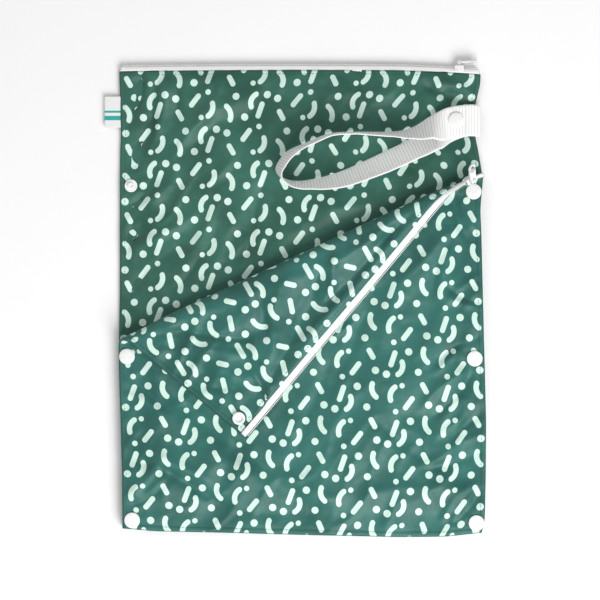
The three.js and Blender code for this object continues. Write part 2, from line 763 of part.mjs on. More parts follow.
// Pull tab: a plate with a slotted knuckle round the pin and a round-ended hole near its tip
function pullSolid(pouch, inset, twist, lean) {
  const frame = sliderFrame(pouch, inset, twist)
    .multiply(new THREE.Matrix4().makeRotationZ(THREE.MathUtils.degToRad(lean)));
  const half = pullBaseWidth / 2;
  const tip = pullTipWidth / 2;
  const outline = new THREE.Shape();
  outline.moveTo(0, -half);
  outline.lineTo(pullLength - tip, -tip);
  outline.absarc(pullLength - tip, 0, tip, -Math.PI / 2, Math.PI / 2);
  outline.lineTo(0, half);
  const hole = new THREE.Path();
  hole.absarc(pullLength - tip, 0, pullHole, 0, 2 * Math.PI);
  outline.holes.push(hole);
  const settings = { depth: pullThick, bevelEnabled: false, curveSegments: snapSides - 2 };
  const plate = new THREE.ExtrudeGeometry(outline, settings);
  plate.translate(0, 0, -pullThick / 2).rotateX(Math.PI / 2);
  const slotWidth = lugWidth + 2 * gap;
  const slotReach = knuckleRadius * 2 + 1;
  return solidOf(plate, frame)
    .add(roundBar(knuckleRadius, -half, half, frame))
    .subtract(block(slotReach * 2, slotReach, slotWidth, -slotReach * 0.4, 0, 0, frame))
    .subtract(roundBar(pinRadius + gap, -pullBaseWidth, pullBaseWidth, frame));
}

// Stations along the strap: its lower edge, its upper edge and the way it runs
const strapSeam = bagWidth / 2 - strapInset;
const strapTop = mainHeight / 2 - strapDrop;
function strapHeight(out, level) {
  const onSeam = 1 - THREE.MathUtils.clamp((out * strapReach + strapInset) / (2 * strapInset), 0, 1);
  const lift = Math.min(level, 1) * strapLow + Math.max(level - 1, 0) * (strapHigh - strapLow);
  return THREE.MathUtils.lerp(mainThick, seamTop, onSeam) + gap + webThick / 2 + lift;
}
function strapStations() {
  const feet = strapPath.map(({ out, down, level }) => new THREE.Vector3(
    strapSeam - out * strapReach,
    strapTop - down * strapReach,
    strapHeight(out, level),
  ));
  const poses = strapPath.map(({ turn, lean }) => new THREE.Vector2(turn, lean));
  const footCurve = new THREE.CatmullRomCurve3(feet, false, 'centripetal');
  return Array.from({ length: strapFacets + 1 }, (_, i) => {
    const at = i / strapFacets;
    const row = at * (strapPath.length - 1);
    const low = Math.floor(row);
    const high = Math.ceil(row);
    const pose = poses[low].clone().lerp(poses[high], row % 1);
    const [turn, lean] = pose.toArray().map(THREE.MathUtils.degToRad);
    const flat = Math.cos(lean);
    const width = new THREE.Vector3(flat * Math.sin(turn), -flat * Math.cos(turn), Math.sin(lean));
    const foot = footCurve.getPoint(at);
    foot.z = THREE.MathUtils.lerp(feet[low].z, feet[high].z, row % 1);
    return { foot, width, way: footCurve.getTangent(at) };
  });
}
function strapSolid(holes) {
  const rings = strapStations().map(({ foot, width, way }) => {
    const face = way.clone().cross(width).normalize().multiplyScalar(webThick / 2);
    const top = foot.clone().addScaledVector(width, webWidth);
    return [
      foot.clone().sub(face), top.clone().sub(face), top.clone().add(face), foot.clone().add(face),
    ];
  });
  const { positions, face } = loft(rings);
  const last = rings[rings.length - 1];
  const first = rings[0];
  face(first[0], first[2], first[1]);
  face(first[0], first[3], first[2]);
  face(last[0], last[1], last[2]);
  face(last[0], last[2], last[3]);
  return holes.reduce((strap, frame) => {
    return strap.subtract(roundBar(postRadius + gap, -strapLow, strapLow, frame));
  }, solidOf(geometryOf(positions)));
}

// The snap that closes the strap on itself, from the top of its lower run to its upper run
function strapSnapFrame(level, face) {
  const point = new THREE.Vector3(
    strapSeam - strapSnapOut * strapReach,
    strapTop - webWidth / 2,
    strapHeight(strapSnapOut, level) + face * webThick / 2,
  );
  return frameAt(point, new THREE.Vector3(0, 0, 1), new THREE.Vector3(1, 0, 0));
}
const strapStudFrame = strapSnapFrame(1, 1);
const strapCapFrame = strapSnapFrame(2, -1);
addPiece('strap', strapSolid([strapStudFrame, strapCapFrame]), webbingMaterial);
addPiece('strap_stud', studSolid(strapStudFrame, webThick), plasticMaterial);
addPiece('strap_snap', capSolid(strapCapFrame, webThick), plasticMaterial);

// The tag in the left side seam, clear of the seam's sway along its width
const tagEdge = Math.min(...[0, 0.5, 1].map((share) => {
  return placeMain(0, mainHeight - tagDrop - share * tagWidth, 0).x;
}));
const tagFrame = new THREE.Matrix4().setPosition(
  tagEdge - gap - tagLength / 2,
  mainHeight / 2 - tagDrop - tagWidth / 2,
  seamLift + seamThick / 2,
);
addPiece('side_tag', block(tagLength, tagWidth, tagThick, 0, 0, 0, tagFrame), tagMaterial);

const zips = [
  { name: 'main_zip', pouch: mainPouch, inset: mainSliderInset, twist: 0, lean: mainPullLean },
  {
    name: 'front_zip', pouch: frontPouch, inset: frontSliderInset,
    twist: frontPullTwist, lean: frontPullLean,
  },
];
for (const { name, pouch, inset, twist, lean } of zips) {
  addPiece(`${name}_tape`, zipTapeSolid(pouch), tapeMaterial);
  addPiece(`${name}_coil`, zipCoilSolid(pouch), coilMaterial);
  addPiece(`${name}_slider`, sliderSolid(pouch, inset, twist), plasticMaterial);
  addPiece(`${name}_pull`, pullSolid(pouch, inset, twist, lean), plasticMaterial);
}

export default wetBag;
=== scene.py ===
import math

import bmesh
import bpy
import numpy as np
from mathutils import Matrix, Vector


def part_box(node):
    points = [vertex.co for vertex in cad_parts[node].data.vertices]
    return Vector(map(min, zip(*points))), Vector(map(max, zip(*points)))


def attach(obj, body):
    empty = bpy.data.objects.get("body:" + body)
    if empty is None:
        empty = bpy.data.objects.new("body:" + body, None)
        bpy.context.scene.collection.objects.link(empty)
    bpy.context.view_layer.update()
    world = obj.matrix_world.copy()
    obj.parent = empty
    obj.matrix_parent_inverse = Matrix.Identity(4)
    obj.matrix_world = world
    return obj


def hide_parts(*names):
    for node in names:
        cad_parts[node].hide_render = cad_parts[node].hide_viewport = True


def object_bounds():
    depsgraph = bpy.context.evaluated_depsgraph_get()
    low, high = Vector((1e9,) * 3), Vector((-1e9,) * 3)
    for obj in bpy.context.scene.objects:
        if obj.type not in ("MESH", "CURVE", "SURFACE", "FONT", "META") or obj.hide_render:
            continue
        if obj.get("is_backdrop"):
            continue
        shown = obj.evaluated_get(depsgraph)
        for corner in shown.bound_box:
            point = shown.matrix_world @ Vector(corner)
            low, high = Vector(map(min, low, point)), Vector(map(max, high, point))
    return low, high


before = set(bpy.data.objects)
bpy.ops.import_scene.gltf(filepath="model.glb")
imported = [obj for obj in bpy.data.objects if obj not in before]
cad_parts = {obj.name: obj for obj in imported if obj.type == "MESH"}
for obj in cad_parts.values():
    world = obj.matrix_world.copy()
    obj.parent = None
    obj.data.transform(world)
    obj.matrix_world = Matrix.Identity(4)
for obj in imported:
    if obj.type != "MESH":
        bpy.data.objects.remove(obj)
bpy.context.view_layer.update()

# All is worked out in millimetres, as the bag was cut, and scaled when a mesh is made
mm = 0.001

bag = {"width": 287, "mainHeight": 365.4, "frontHeight": 283, "seamBand": 17, "seamSlope": 14,
       "seamEase": 2, "mainThick": 7.2, "frontThick": 5.4, "seamThick": 2, "seamLift": 1.8,
       "frontBase": 7.5}

# The corner that is folded down: start is up the left edge, inset is from the mouth's right end
fold = {"start": 159.42, "inset": 18.5, "radius": 7.4, "settle": 36, "flapGap": 2.1}

# How far the edges sway off their straight lines, in shares of the width
sideSway = {"up": [0, .02, .12, .24, .37, .42, .52, .65, .70, .77, .83, .86, .93, .98, 1],
            "left": [.008, .008, .007, .003, -.002, -.003, 0, 0, 0, 0, .001, .003, .001,
                     -.001, -.002],
            "right": [-.007, .003, .006, .007, .003, .001, -.002, -.006, -.009, -.001, -.014,
                      -.022, -.022, -.007, -.007]}
endSway = {"across": [0, .09, .28, .5, .77, .9, 1],
           "bottom": [.015, .007, .003, -.003, -.009, -.008, .003],
           "top": [-.002, -.001, .001, .002, .001, -.004, -.010],
           "bottomFade": .333, "topFade": .18}


def smooth(value, low, high):
    share = np.clip((value - low) / (high - low), 0, 1)
    return share * share * (3 - 2 * share)


def lerp(low, high, share):
    return low + (high - low) * share


def softTable(at, stops, values, reach):
    # a table's line with its corners rounded over reach
    steps = np.linspace(-1, 1, 9)
    weights = np.exp(-2 * steps * steps)
    total = sum(w * np.interp(at + reach * s, stops, values) for s, w in zip(steps, weights))
    return total / weights.sum()


def swayed(x, y, z):
    across = x / bag["width"]
    up = y / bag["mainHeight"]
    left = softTable(up, sideSway["up"], sideSway["left"], .018)
    right = softTable(up, sideSway["up"], sideSway["right"], .018)
    bottom = softTable(across, endSway["across"], endSway["bottom"], .03)
    top = softTable(across, endSway["across"], endSway["top"], .03)
    rise = bottom * np.clip(1 - up / endSway["bottomFade"], 0, 1)
    rise = rise + top * np.clip(1 + (up - 1) / endSway["topFade"], 0, 1)
    placeX = x + bag["width"] * (lerp(left, right, across) - .5)
    placeY = y + bag["width"] * rise - bag["mainHeight"] / 2
    return np.stack(np.broadcast_arrays(placeX, placeY, z), -1)


foldHalf = math.pi * fold["radius"] / 2
creaseRun = Vector((bag["width"] - fold["inset"], bag["frontHeight"] - fold["start"])).normalized()
creaseOver = Vector((-creaseRun.y, creaseRun.x))


def pastCrease(x, y):
    return x * creaseOver.x + (y - fold["start"]) * creaseOver.y


def placeFront(x, y, w):
    # rolls the front pouch over its crease, w is the height above its back cloth
    over = pastCrease(x, y)
    radius = fold["radius"]
    settled = smooth(over - foldHalf, 0, fold["settle"])
    angle = (over + foldHalf) / radius
    flapDrop = 2 * radius - 2 * bag["frontThick"] - fold["flapGap"]
    onRoll, onFlap = over > -foldHalf, over > foldHalf
    reach = np.where(onRoll, (radius - w) * np.sin(angle) - foldHalf, over)
    reach = np.where(onFlap, -over, reach)
    rise = np.where(onRoll, radius - (radius - w) * np.cos(angle), w)
    rise = np.where(onFlap, 2 * radius - w - settled * flapDrop, rise)
    moved = reach - over
    return swayed(x + moved * creaseOver.x, y + moved * creaseOver.y, rise + bag["frontBase"])


# Soft creases of the cloth in the bag's frame: both ends, width, height and how sharp, 0 round
# to 1 keen. A minus height is a valley.
mainCreases = [
    (-128, 173, -138, 132, 3.0, -1.3, .5), (-112, 173, -121, 142, 3.4, -1.4, .5),
    (-104, 173, -120, 122, 3.6, 1.0, .3), (-93, 173, -103, 140, 4.0, -.8, .3),
    (-46, 160, -74, 146, 9.0, 1.2, 0), (-74, 146, -100, 112, 8.0, 1.3, 0),
    (-55, 144, -84, 128, 9.0, -1.0, 0), (-84, 128, -124, 86, 9.0, -1.5, .2),
    (-131, 66, -143, 26, 3.0, -.9, .5), (-90, 68, -131, 40, 5.0, 1.0, .3),
    (-30, 88, -46, 40, 4.4, -1.2, .4), (-46, 40, -84, 14, 5.0, -1.0, .4),
    (-55, 56, -77, 14, 5.0, .9, .2), (-71, 52, -93, 12, 4.0, -.9, .4),
    (-108, 92, -136, 62, 4.0, .8, .3), (-100, 40, -138, 8, 5.0, -.7, .2),
    (27, 170, 72, 158, 8.0, 1.0, 0), (0, 176, 46, 168, 5.0, -.6, 0),
    (103, 170, 122, 153, 3.0, -1.2, .5), (116, 173, 136, 163, 3.0, .9, .4),
    (84, 108, 107, 89, 3.6, -1.3, .5), (72, 100, 97, 86, 4.4, .9, .3),
    (20, 84, 62, 70, 6.0, .7, .1), (-20, 96, 30, 88, 7.0, -.6, 0),
    (128, 128, 141, 112, 3.0, -.9, .4), (120, 118, 138, 100, 3.4, .7, .3)]
flapCreases = [
    (108, 86, 72, 56, 4.0, -1.5, .3), (72, 56, 24, 3, 5.4, -1.9, .25),
    (14, 17, 2, -14, 5.4, -1.5, .2), (2, -14, -25, -58, 5.6, -1.8, .25),
    (94, 69, 44, 10, 4.4, 1.4, .2), (44, 10, -6, -54, 5.0, 1.4, .2),
    (66, 63, 26, 30, 5.0, 1.4, .2), (27, 34, 19, 6, 3.0, 1.2, .4),
    (-19, 4, -23, -30, 4.6, 1.0, .2), (-30, 8, -31, -24, 4.0, -1.0, .3),
    (-109, -26, -46, -27, 3.4, -1.3, .4), (-46, -27, -33, -42, 3.4, -1.0, .3),
    (-103, -40, -49, -39, 4.0, .9, .2), (-42, -38, -30, -78, 3.2, -1.3, .4),
    (-37, -42, -25, -70, 3.0, .9, .3), (-74, -64, -52, -70, 3.6, -1.1, .4),
    (-96, -14, -60, 4, 7.0, .9, 0), (-52, 6, -8, 22, 7.0, .8, 0),
    (-70, -52, -44, -58, 4.0, .8, .2)]
frontCreases = [
    (-93, -78, -11, -150, 8.0, -1.3, 0), (-122, -128, -71, -153, 5.0, -1.5, .4),
    (-131, -110, -78, -140, 5.0, .9, .2), (53, 2, 27, -62, 6.0, -1.0, .2),
    (18, -55, -3, -119, 5.0, -.9, .2), (72, -4, 53, -62, 8.0, .9, 0),
    (34, -58, 12, -116, 6.0, .7, 0), (113, 43, 103, 11, 3.6, -1.0, .4),
    (119, 42, 110, 8, 4.0, .8, .3), (119, 8, 143, -1, 2.6, -1.2, .5),
    (121, 3, 143, -7, 2.8, .9, .4), (137, -27, 113, -44, 2.8, -1.3, .5),
    (133, -32, 108, -50, 3.0, .9, .4), (135, -55, 110, -87, 3.2, -1.4, .5),
    (125, -55, 100, -78, 3.2, 1.0, .3), (143, -84, 122, -108, 3.0, -1.3, .5),
    (136, -80, 112, -104, 3.2, .9, .4), (68, -103, 103, -125, 6.0, -1.0, .2),
    (103, -125, 140, -106, 4.0, .9, .2), (100, -132, 140, -118, 3.6, -.8, .3),
    (141, -150, 124, -171, 3.2, -1.3, .5), (132, -146, 112, -168, 3.6, .9, .3),
    (119, 81, 130, 53, 2.8, -1.2, .5), (126, 84, 136, 56, 2.8, .8, .4),
    (-137, -54, -115, -80, 3.2, -1.1, .5), (-141, -74, -113, -84, 3.2, .8, .4),
    (-138, -152, -112, -128, 3.4, 1.0, .3), (-132, -160, -104, -140, 3.2, -.9, .4),
    (60, -150, 118, -146, 5.0, .7, 0), (-60, -128, 30, -160, 8.0, .7, 0)]

crease = {"gain": 2.3, "sway": 2.2, "swing": 3.4, "ends": 2.2, "keenFall": 1.5}


def creasesAt(table, x, y):
    total = np.zeros(np.shape(x))
    for x0, y0, x1, y1, wide, height, keen in table:
        runX, runY = x1 - x0, y1 - y0
        length = math.hypot(runX, runY)
        share = ((x - x0) * runX + (y - y0) * runY) / length ** 2
        beside = ((y - y0) * runX - (x - x0) * runY) / length
        bend = crease["sway"] * np.sin(share * crease["swing"] + x0)  # none is ruled straight
        away = np.abs(beside + bend) / wide
        past = np.maximum(np.maximum(-share, share - 1), 0) * length / (crease["ends"] * wide)
        far = np.sqrt(away * away + past * past)
        profile = (1 - keen) * np.exp(-far * far) + keen * np.exp(-crease["keenFall"] * far)
        total += height * crease["gain"] * profile
    return total


def cloudAt(seed, size, x, y):
    # smooth random hills between -1 and 1, the same each run
    cells = 61
    lattice = np.random.default_rng(seed).uniform(-1, 1, (cells, cells))
    u, v = x / size + 100, y / size + 100
    i, j = np.floor(u).astype(int), np.floor(v).astype(int)
    shareU, shareV = (s * s * s * (s * (s * 6 - 15) + 10) for s in (u - i, v - j))

    def corner(right, up):
        return lattice[(i + right) % cells, (j + up) % cells]

    near = lerp(corner(0, 0), corner(1, 0), shareU)
    far = lerp(corner(0, 1), corner(1, 1), shareU)
    return lerp(near, far, shareV)


rumple = {"turn": 52, "long": 46, "wide": 15, "height": 1.6, "swell": 2.1, "swellWide": 34,
          "fine": .3, "fineWide": 6, "warp": 9, "warpWide": 40}


def rumpleAt(seed, x, y):
    # streaks that run from upper right to lower left, with finer crumple between
    turn = math.radians(rumple["turn"])
    warp = rumple["warp"] * cloudAt(seed + 5, rumple["warpWide"], x, y)
    along = (x * math.cos(turn) + y * math.sin(turn)) / rumple["long"]
    beside = (y * math.cos(turn) - x * math.sin(turn) + warp) / rumple["wide"]
    streaks = 1 - 2 * np.abs(cloudAt(seed, 1, along, beside))
    swell = rumple["swell"] * cloudAt(seed + 2, rumple["swellWide"], x + warp, y - warp)
    fine = rumple["fine"] * cloudAt(seed + 9, rumple["fineWide"], x + warp, y)
    return rumple["height"] * streaks + swell + fine


def middleOf(name):
    low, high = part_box(name)
    return (low + high) / 2 / mm


snapSpots = {name: middleOf(name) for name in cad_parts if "_stud" in name or "_snap" in name}
# Round a snap the cloth gathers in short rays, and it lies flat under the cap
held = {"rays": 7, "pucker": .55, "rise": (5, 11), "reach": 17, "flat": (7, 17)}


def foldsAt(table, seed, x, y, snaps):
    # creases and crumple of one face of cloth, held down by its snaps
    folds = creasesAt(table, x, y) + rumpleAt(seed, x, y)
    free, gathers = np.ones(np.shape(x)), np.zeros(np.shape(x))
    for name in snaps:
        dx, dy = x - snapSpots[name].x, y - snapSpots[name].y
        away = np.hypot(dx, dy)
        free = free * smooth(away, *held["flat"])
        ray = np.cos(held["rays"] * np.arctan2(dy, dx) + snapSpots[name].x)
        gathers += held["pucker"] * ray * smooth(away, *held["rise"]) * np.exp(-(away / held["reach"]) ** 2)
    return folds * free + gathers


def fromEdge(x, y):
    # how far a place in the cloth is from the nearest of its sewn edges
    return np.minimum(np.minimum(x, bag["width"] - x), y)


def fullness(x, y):
    start, end = bag["seamBand"] - bag["seamEase"], bag["seamBand"] + bag["seamSlope"] + bag["seamEase"]
    return smooth(np.minimum(x, bag["width"] - x), start, end) * smooth(y, start, end)


edge = {"round": 1.4, "drop": .62, "stitchIn": 3.6, "groove": .42, "roll": .38, "rollIn": 1.9,
        "line": .8, "ripple": .16, "rippleIn": 5}
mouth = {"hem": 9.5, "ridge": .45, "ridgeIn": 4.4, "ridgeWide": 2.2, "puckers": .45, "puckerIn": 11}


def edgeRelief(x, y):
    # how far the cloth's face is below its seam: turned edge and topstitch groove
    inward = fromEdge(x, y)
    rounding = 1 - np.clip(inward / edge["round"], 0, 1)
    turnedEdge = edge["drop"] * (1 - np.sqrt(np.clip(1 - rounding ** 2, 0, 1)))
    groove = edge["groove"] * np.exp(-((inward - edge["stitchIn"]) / edge["line"]) ** 2)
    groove = groove - edge["roll"] * np.exp(-((inward - edge["rollIn"]) / edge["line"]) ** 2)
    ripple = edge["ripple"] * np.sin((x + y) * 1.1 + 3 * cloudAt(3, 11, x, y))
    ripple = ripple * np.exp(-(inward / edge["rippleIn"]) ** 2)
    return turnedEdge + groove + ripple * smooth(inward, 0, 2)


def zipPuckers(x, y, height):
    # small gathers below the mouth, and the ridge of its hem
    below = height - y
    wave = np.sin(x * .55 + 2.6 * cloudAt(21, 17, x, y))
    wave = wave + .6 * np.sin(x * 1.3 + 2 * cloudAt(22, 9, x, y))
    ridge = mouth["ridge"] * np.exp(-((below - mouth["ridgeIn"]) / mouth["ridgeWide"]) ** 2)
    fading = smooth(below, 0, 5) * np.exp(-(below / mouth["puckerIn"]) ** 2)
    return mouth["puckers"] * wave * fading + ridge


def drawnIn(low, high, y, height, thick, hem):
    # both skins come together at the mouth, where the zip is sewn in
    taper = smooth(height - y, 0, mouth["hem"])
    low = lerp(np.maximum(low, thick / 2 - hem), low, taper)
    return low, lerp(np.minimum(high, thick / 2 + hem), high, taper)


# Where the main pouch's folds show: clear of the front pouch, and lower under the strap
mainFolds = {"seed": 31, "snaps": ["main_stud_1", "main_stud_4"], "bare": (5, 16),
             "strapAt": (60, 118), "strapReach": (96, 36), "strapEase": (.95, 1.35),
             "underStrap": .35, "highest": (1.1, 4.2), "atSeam": .25, "loose": 12, "hem": 2.2,
             "rearRelief": .6}


def mainSkins(x, y):
    # both skins of the main pouch, as heights over the floor
    full = fullness(x, y)
    low = bag["seamLift"] * (1 - full)
    high = lerp(bag["seamLift"] + bag["seamThick"], bag["mainThick"], full)
    spot = swayed(x, y, 0)
    placeX, placeY = spot[..., 0], spot[..., 1]
    bare = smooth(pastCrease(x, y), *mainFolds["bare"])
    strapX, strapY = ((place - at) / reach for place, at, reach in
                      zip((placeX, placeY), mainFolds["strapAt"], mainFolds["strapReach"]))
    free = smooth(np.hypot(strapX, strapY), *mainFolds["strapEase"])
    loose = lerp(mainFolds["atSeam"], 1, smooth(fromEdge(x, y), 0, mainFolds["loose"]))
    folds = foldsAt(mainCreases, mainFolds["seed"], placeX, placeY, mainFolds["snaps"])
    folds = folds + zipPuckers(x, y, bag["mainHeight"])
    folds = np.minimum(folds, lerp(*mainFolds["highest"], free))
    high = high + folds * loose * lerp(mainFolds["underStrap"], 1, free) * bare
    relief = edgeRelief(x, y)
    low, high = drawnIn(low, high, y, bag["mainHeight"], bag["mainThick"], mainFolds["hem"])
    return low + relief * mainFolds["rearRelief"], high - relief


frontFolds = {"seed": 83, "snaps": ["front_snap_%d" % i for i in range(2, 7)], "bare": (-3, 9),
              "flapSeed": 57, "flapSnaps": ["front_snap_1"], "flap": (-5, 8), "atSeam": .3,
              "loose": 12, "hem": 1.5, "thinnest": .9}


def frontSkins(x, y):
    # both skins of the front pouch, as heights over its back cloth
    over = pastCrease(x, y)
    thick = lerp(bag["seamThick"], bag["frontThick"], fullness(x, y))
    low = smooth(over, -foldHalf, foldHalf) * (bag["frontThick"] - thick)
    high = low + thick
    topSpot = placeFront(x, y, np.where(over > 0, low, high))
    placeX, placeY = topSpot[..., 0], topSpot[..., 1]
    loose = lerp(frontFolds["atSeam"], 1, smooth(fromEdge(x, y), 0, frontFolds["loose"]))
    flap = smooth(over - foldHalf, *frontFolds["flap"])
    acrossMouth = y - 2 * over * creaseOver.y - bag["frontHeight"]
    acrossSide = 2 * over * creaseOver.x - x
    bare = smooth(np.maximum(acrossMouth, acrossSide), *frontFolds["bare"]) * (over < -foldHalf)
    puckers = zipPuckers(x, y, bag["frontHeight"])
    onFlap = foldsAt(flapCreases, frontFolds["flapSeed"], placeX, placeY, frontFolds["flapSnaps"])
    below = foldsAt(frontCreases, frontFolds["seed"], placeX, placeY, frontFolds["snaps"])
    low = low - (onFlap + puckers) * loose * flap
    high = high + (below + puckers) * loose * bare
    relief = edgeRelief(x, y)
    low, high = drawnIn(low, high, y, bag["frontHeight"], bag["frontThick"], frontFolds["hem"])
    low, high = low + relief, high - relief
    grow = np.maximum(frontFolds["thinnest"] - (high - low), 0) / 2
    return low - grow, high + grow


def meshPiece(name, points, faces, uvs=None):
    # points in millimetres, faces as lists of corners
    mesh = bpy.data.meshes.new(name)
    mesh.from_pydata((np.asarray(points) * mm).tolist(), [], faces)
    for layer, values in (uvs or {}).items():
        data = mesh.uv_layers.new(name=layer).data
        corners = np.empty(len(mesh.loops), int)
        mesh.loops.foreach_get("vertex_index", corners)
        data.foreach_set("uv", (np.asarray(values)[corners] * mm).astype(np.float32).ravel())
    mesh.polygons.foreach_set("use_smooth", [True] * len(mesh.polygons))
    mesh.validate()
    piece = bpy.data.objects.new(name, mesh)
    bpy.context.scene.collection.objects.link(piece)
    return piece


def cleaned(piece, merge, least):
    # merges points that lie on each other, drops faces without area and points without faces
    work = bmesh.new()
    work.from_mesh(piece.data)
    loose = [v for v in work.verts if not v.link_faces]
    bmesh.ops.delete(work, geom=loose, context="VERTS")
    bmesh.ops.remove_doubles(work, verts=work.verts, dist=merge)
    bmesh.ops.dissolve_degenerate(work, edges=work.edges, dist=least)
    work.to_mesh(piece.data)
    work.free()
    piece.data.validate()
    return piece


def lowest(values, reach):
    # the least value within reach cells, so that an inner skin keeps below its outer one's folds
    for axis in (0, 1):
        for step in range(reach):
            beside = np.minimum(np.roll(values, 1, axis), np.roll(values, -1, axis))
            values = np.minimum(values, beside)
    return values


cloth = {"step": 1.9, "wall": .7, "opening": (1, 9), "leastRoom": .05, "backShift": 11}


def pouchPiece(name, height, place, skins, turnFront):
    # a sewn pouch: outer skin, inner skin and the lips between them at the mouth
    step, wall, wide = cloth["step"], cloth["wall"], bag["width"]
    columns, rows = round(wide / step), round(height / step)
    x, y = np.meshgrid(np.linspace(0, wide, columns + 1), np.linspace(0, height, rows + 1),
                       indexing="ij")
    low, high = skins(x, y)
    middle = (low + high) / 2
    opened = smooth(fromEdge(x, y) - bag["seamBand"], *cloth["opening"])
    roof = np.maximum(lowest(high, 3) - wall - middle, cloth["leastRoom"]) * opened
    ground = np.maximum(middle + lowest(-low, 3) - wall, cloth["leastRoom"]) * opened
    layers = [place(x, y, level) for level in (high, low, middle + roof, middle - ground)]
    first = int(np.argmax(opened[:, -1] > 0)) - 1
    innerRows = [j for j in range(rows, -1, -2) if y[0, j] > bag["seamBand"] - 2 * step]
    count = (columns + 1) * (rows + 1)
    faces = []

    def face(*corners):
        # each corner is a layer, a column and a row
        faces.append([layer * count + i * (rows + 1) + j for layer, i, j in corners])

    for i in range(columns):
        for j in range(rows):
            face((0, i, j), (0, i + 1, j), (0, i + 1, j + 1), (0, i, j + 1))
            face((1, i, j), (1, i, j + 1), (1, i + 1, j + 1), (1, i + 1, j))
    for i in range(columns):
        face((1, i, 0), (1, i + 1, 0), (0, i + 1, 0), (0, i, 0))
        face((0, i, rows), (0, i + 1, rows), (2, i + 1, rows), (2, i, rows))
        face((3, i, rows), (3, i + 1, rows), (1, i + 1, rows), (1, i, rows))
    for j in range(rows):
        face((1, 0, j), (0, 0, j), (0, 0, j + 1), (1, 0, j + 1))
        face((0, columns, j), (1, columns, j), (1, columns, j + 1), (0, columns, j + 1))
    for i in range(first, columns - first):
        for outer, inner in zip(innerRows, innerRows[1:]):
            face((2, i, outer), (2, i + 1, outer), (2, i + 1, inner), (2, i, inner))
            face((3, i, outer), (3, i, inner), (3, i + 1, inner), (3, i + 1, outer))
    points = np.concatenate([layer.reshape(-1, 3) for layer in layers])
    flat = np.stack([x.ravel(), y.ravel()], -1)
    frontPrint = (wide, height) - flat if turnFront else flat
    backPrint = np.stack([wide - flat[:, 0], flat[:, 1] + cloth["backShift"]], -1)
    uvs = {"print": np.concatenate([frontPrint, backPrint] * 2), "seam": np.concatenate([flat] * 4)}
    piece = meshPiece(name, points, faces, uvs)
    inside = piece.data.attributes.new("inside", "FLOAT", "POINT").data
    inside.foreach_set("value", np.repeat((0.0, 1.0), 2 * count))
    print(name, len(piece.data.polygons), "faces")
    return cleaned(piece, 1e-6, 1e-7)


mainPouch = pouchPiece("mainPouch", bag["mainHeight"], swayed, mainSkins, False)
frontPouch = pouchPiece("frontPouch", bag["frontHeight"], placeFront, frontSkins, True)
print("pouches sewn")


def tubeFaces(rings, sides):
    # the faces between rings of points, and one at each end
    faces = []
    for i in range(rings - 1):
        for k in range(sides):
            here, beside = i * sides + k, i * sides + (k + 1) % sides
            faces.append((here, beside, beside + sides, here + sides))
    ends = tuple(range(sides))[::-1], tuple((rings - 1) * sides + k for k in range(sides))
    return faces + list(ends)


def faceOut(piece):
    # turns a closed mesh's faces outwards
    work = bmesh.new()
    work.from_mesh(piece.data)
    bmesh.ops.recalc_face_normals(work, faces=work.faces)
    if work.calc_volume(signed=True) < 0:
        bmesh.ops.reverse_faces(work, faces=work.faces)
    work.to_mesh(piece.data)
    work.free()
    return piece


def sweep(name, rings, uv):
    # rings of points as a closed tube, its uv in millimetres from where it was sewn
    faces = tubeFaces(len(rings), len(rings[0]))
    return faceOut(meshPiece(name, np.concatenate(rings), faces, {"seam": uv}))


def joined(name, blocks):
    # many small closed shapes as one mesh, each a pair of points and faces
    points, faces, start = [], [], 0
    for shapePoints, shapeFaces in blocks:
        points.append(np.asarray(shapePoints))
        faces += [tuple(start + k for k in face) for face in shapeFaces]
        start += len(shapePoints)
    return faceOut(meshPiece(name, np.concatenate(points), faces))


def bead(path, radius, sides=6):
    # a short round bar along a few points, with drawn-in ends
    path = np.asarray(path, float)
    ways = np.gradient(path, axis=0)
    ways /= np.linalg.norm(ways, axis=1)[:, None]
    side = np.cross(ways[0], (0, 0, 1.0) if abs(ways[0][2]) < .8 else (1.0, 0, 0))
    points = []
    radii = [radius * .45] + [radius] * (len(path) - 2) + [radius * .45]
    for spot, way, wide in zip(path, ways, radii):
        side = side - way * (side @ way)
        side /= np.linalg.norm(side)
        other = np.cross(way, side)
        for turn in np.arange(sides) * 2 * math.pi / sides:
            points.append(spot + wide * (math.cos(turn) * side + math.sin(turn) * other))
    return points, tubeFaces(len(path), sides)


# Each zip: how far it stands out of the mouth, half its sewn thickness, and how its pull is set
zips = {"main": {"place": swayed, "height": bag["mainHeight"], "middle": bag["mainThick"] / 2,
                 "reach": 3.6, "leg": 2.0, "endLeg": .35, "slider": 2.6, "inset": 17, "twist": 0,
                 "lean": -88, "body": "main_pull"},
        "front": {"place": placeFront, "height": bag["frontHeight"], "middle": bag["frontThick"] / 2,
                  "reach": 4.6, "leg": 1.1, "endLeg": 1, "slider": 1.7, "inset": 16, "twist": 88,
                  "lean": -72, "body": "front_pull"}}
tape = {"step": 1.6, "end": 1.0, "tip": 1.0, "tuck": 5, "sewn": 31, "sewnEase": 6, "hidden": .3,
        "thinEnd": 12, "underside": 20}
coil = {"pitch": 1.25, "wire": .46, "half": .9, "end": 3.5, "depth": 1.0}
slider = {"length": 8, "wall": .9, "gap": .3, "coil": 1.2, "pinLift": 2.2, "knuckle": 1.7,
          "lug": 1.6, "pin": .7, "round": .55, "nose": .16, "tail": .30}
pull = {"length": 15, "tip": 7, "base": 5.6, "thick": 1.4, "hole": 2.4}


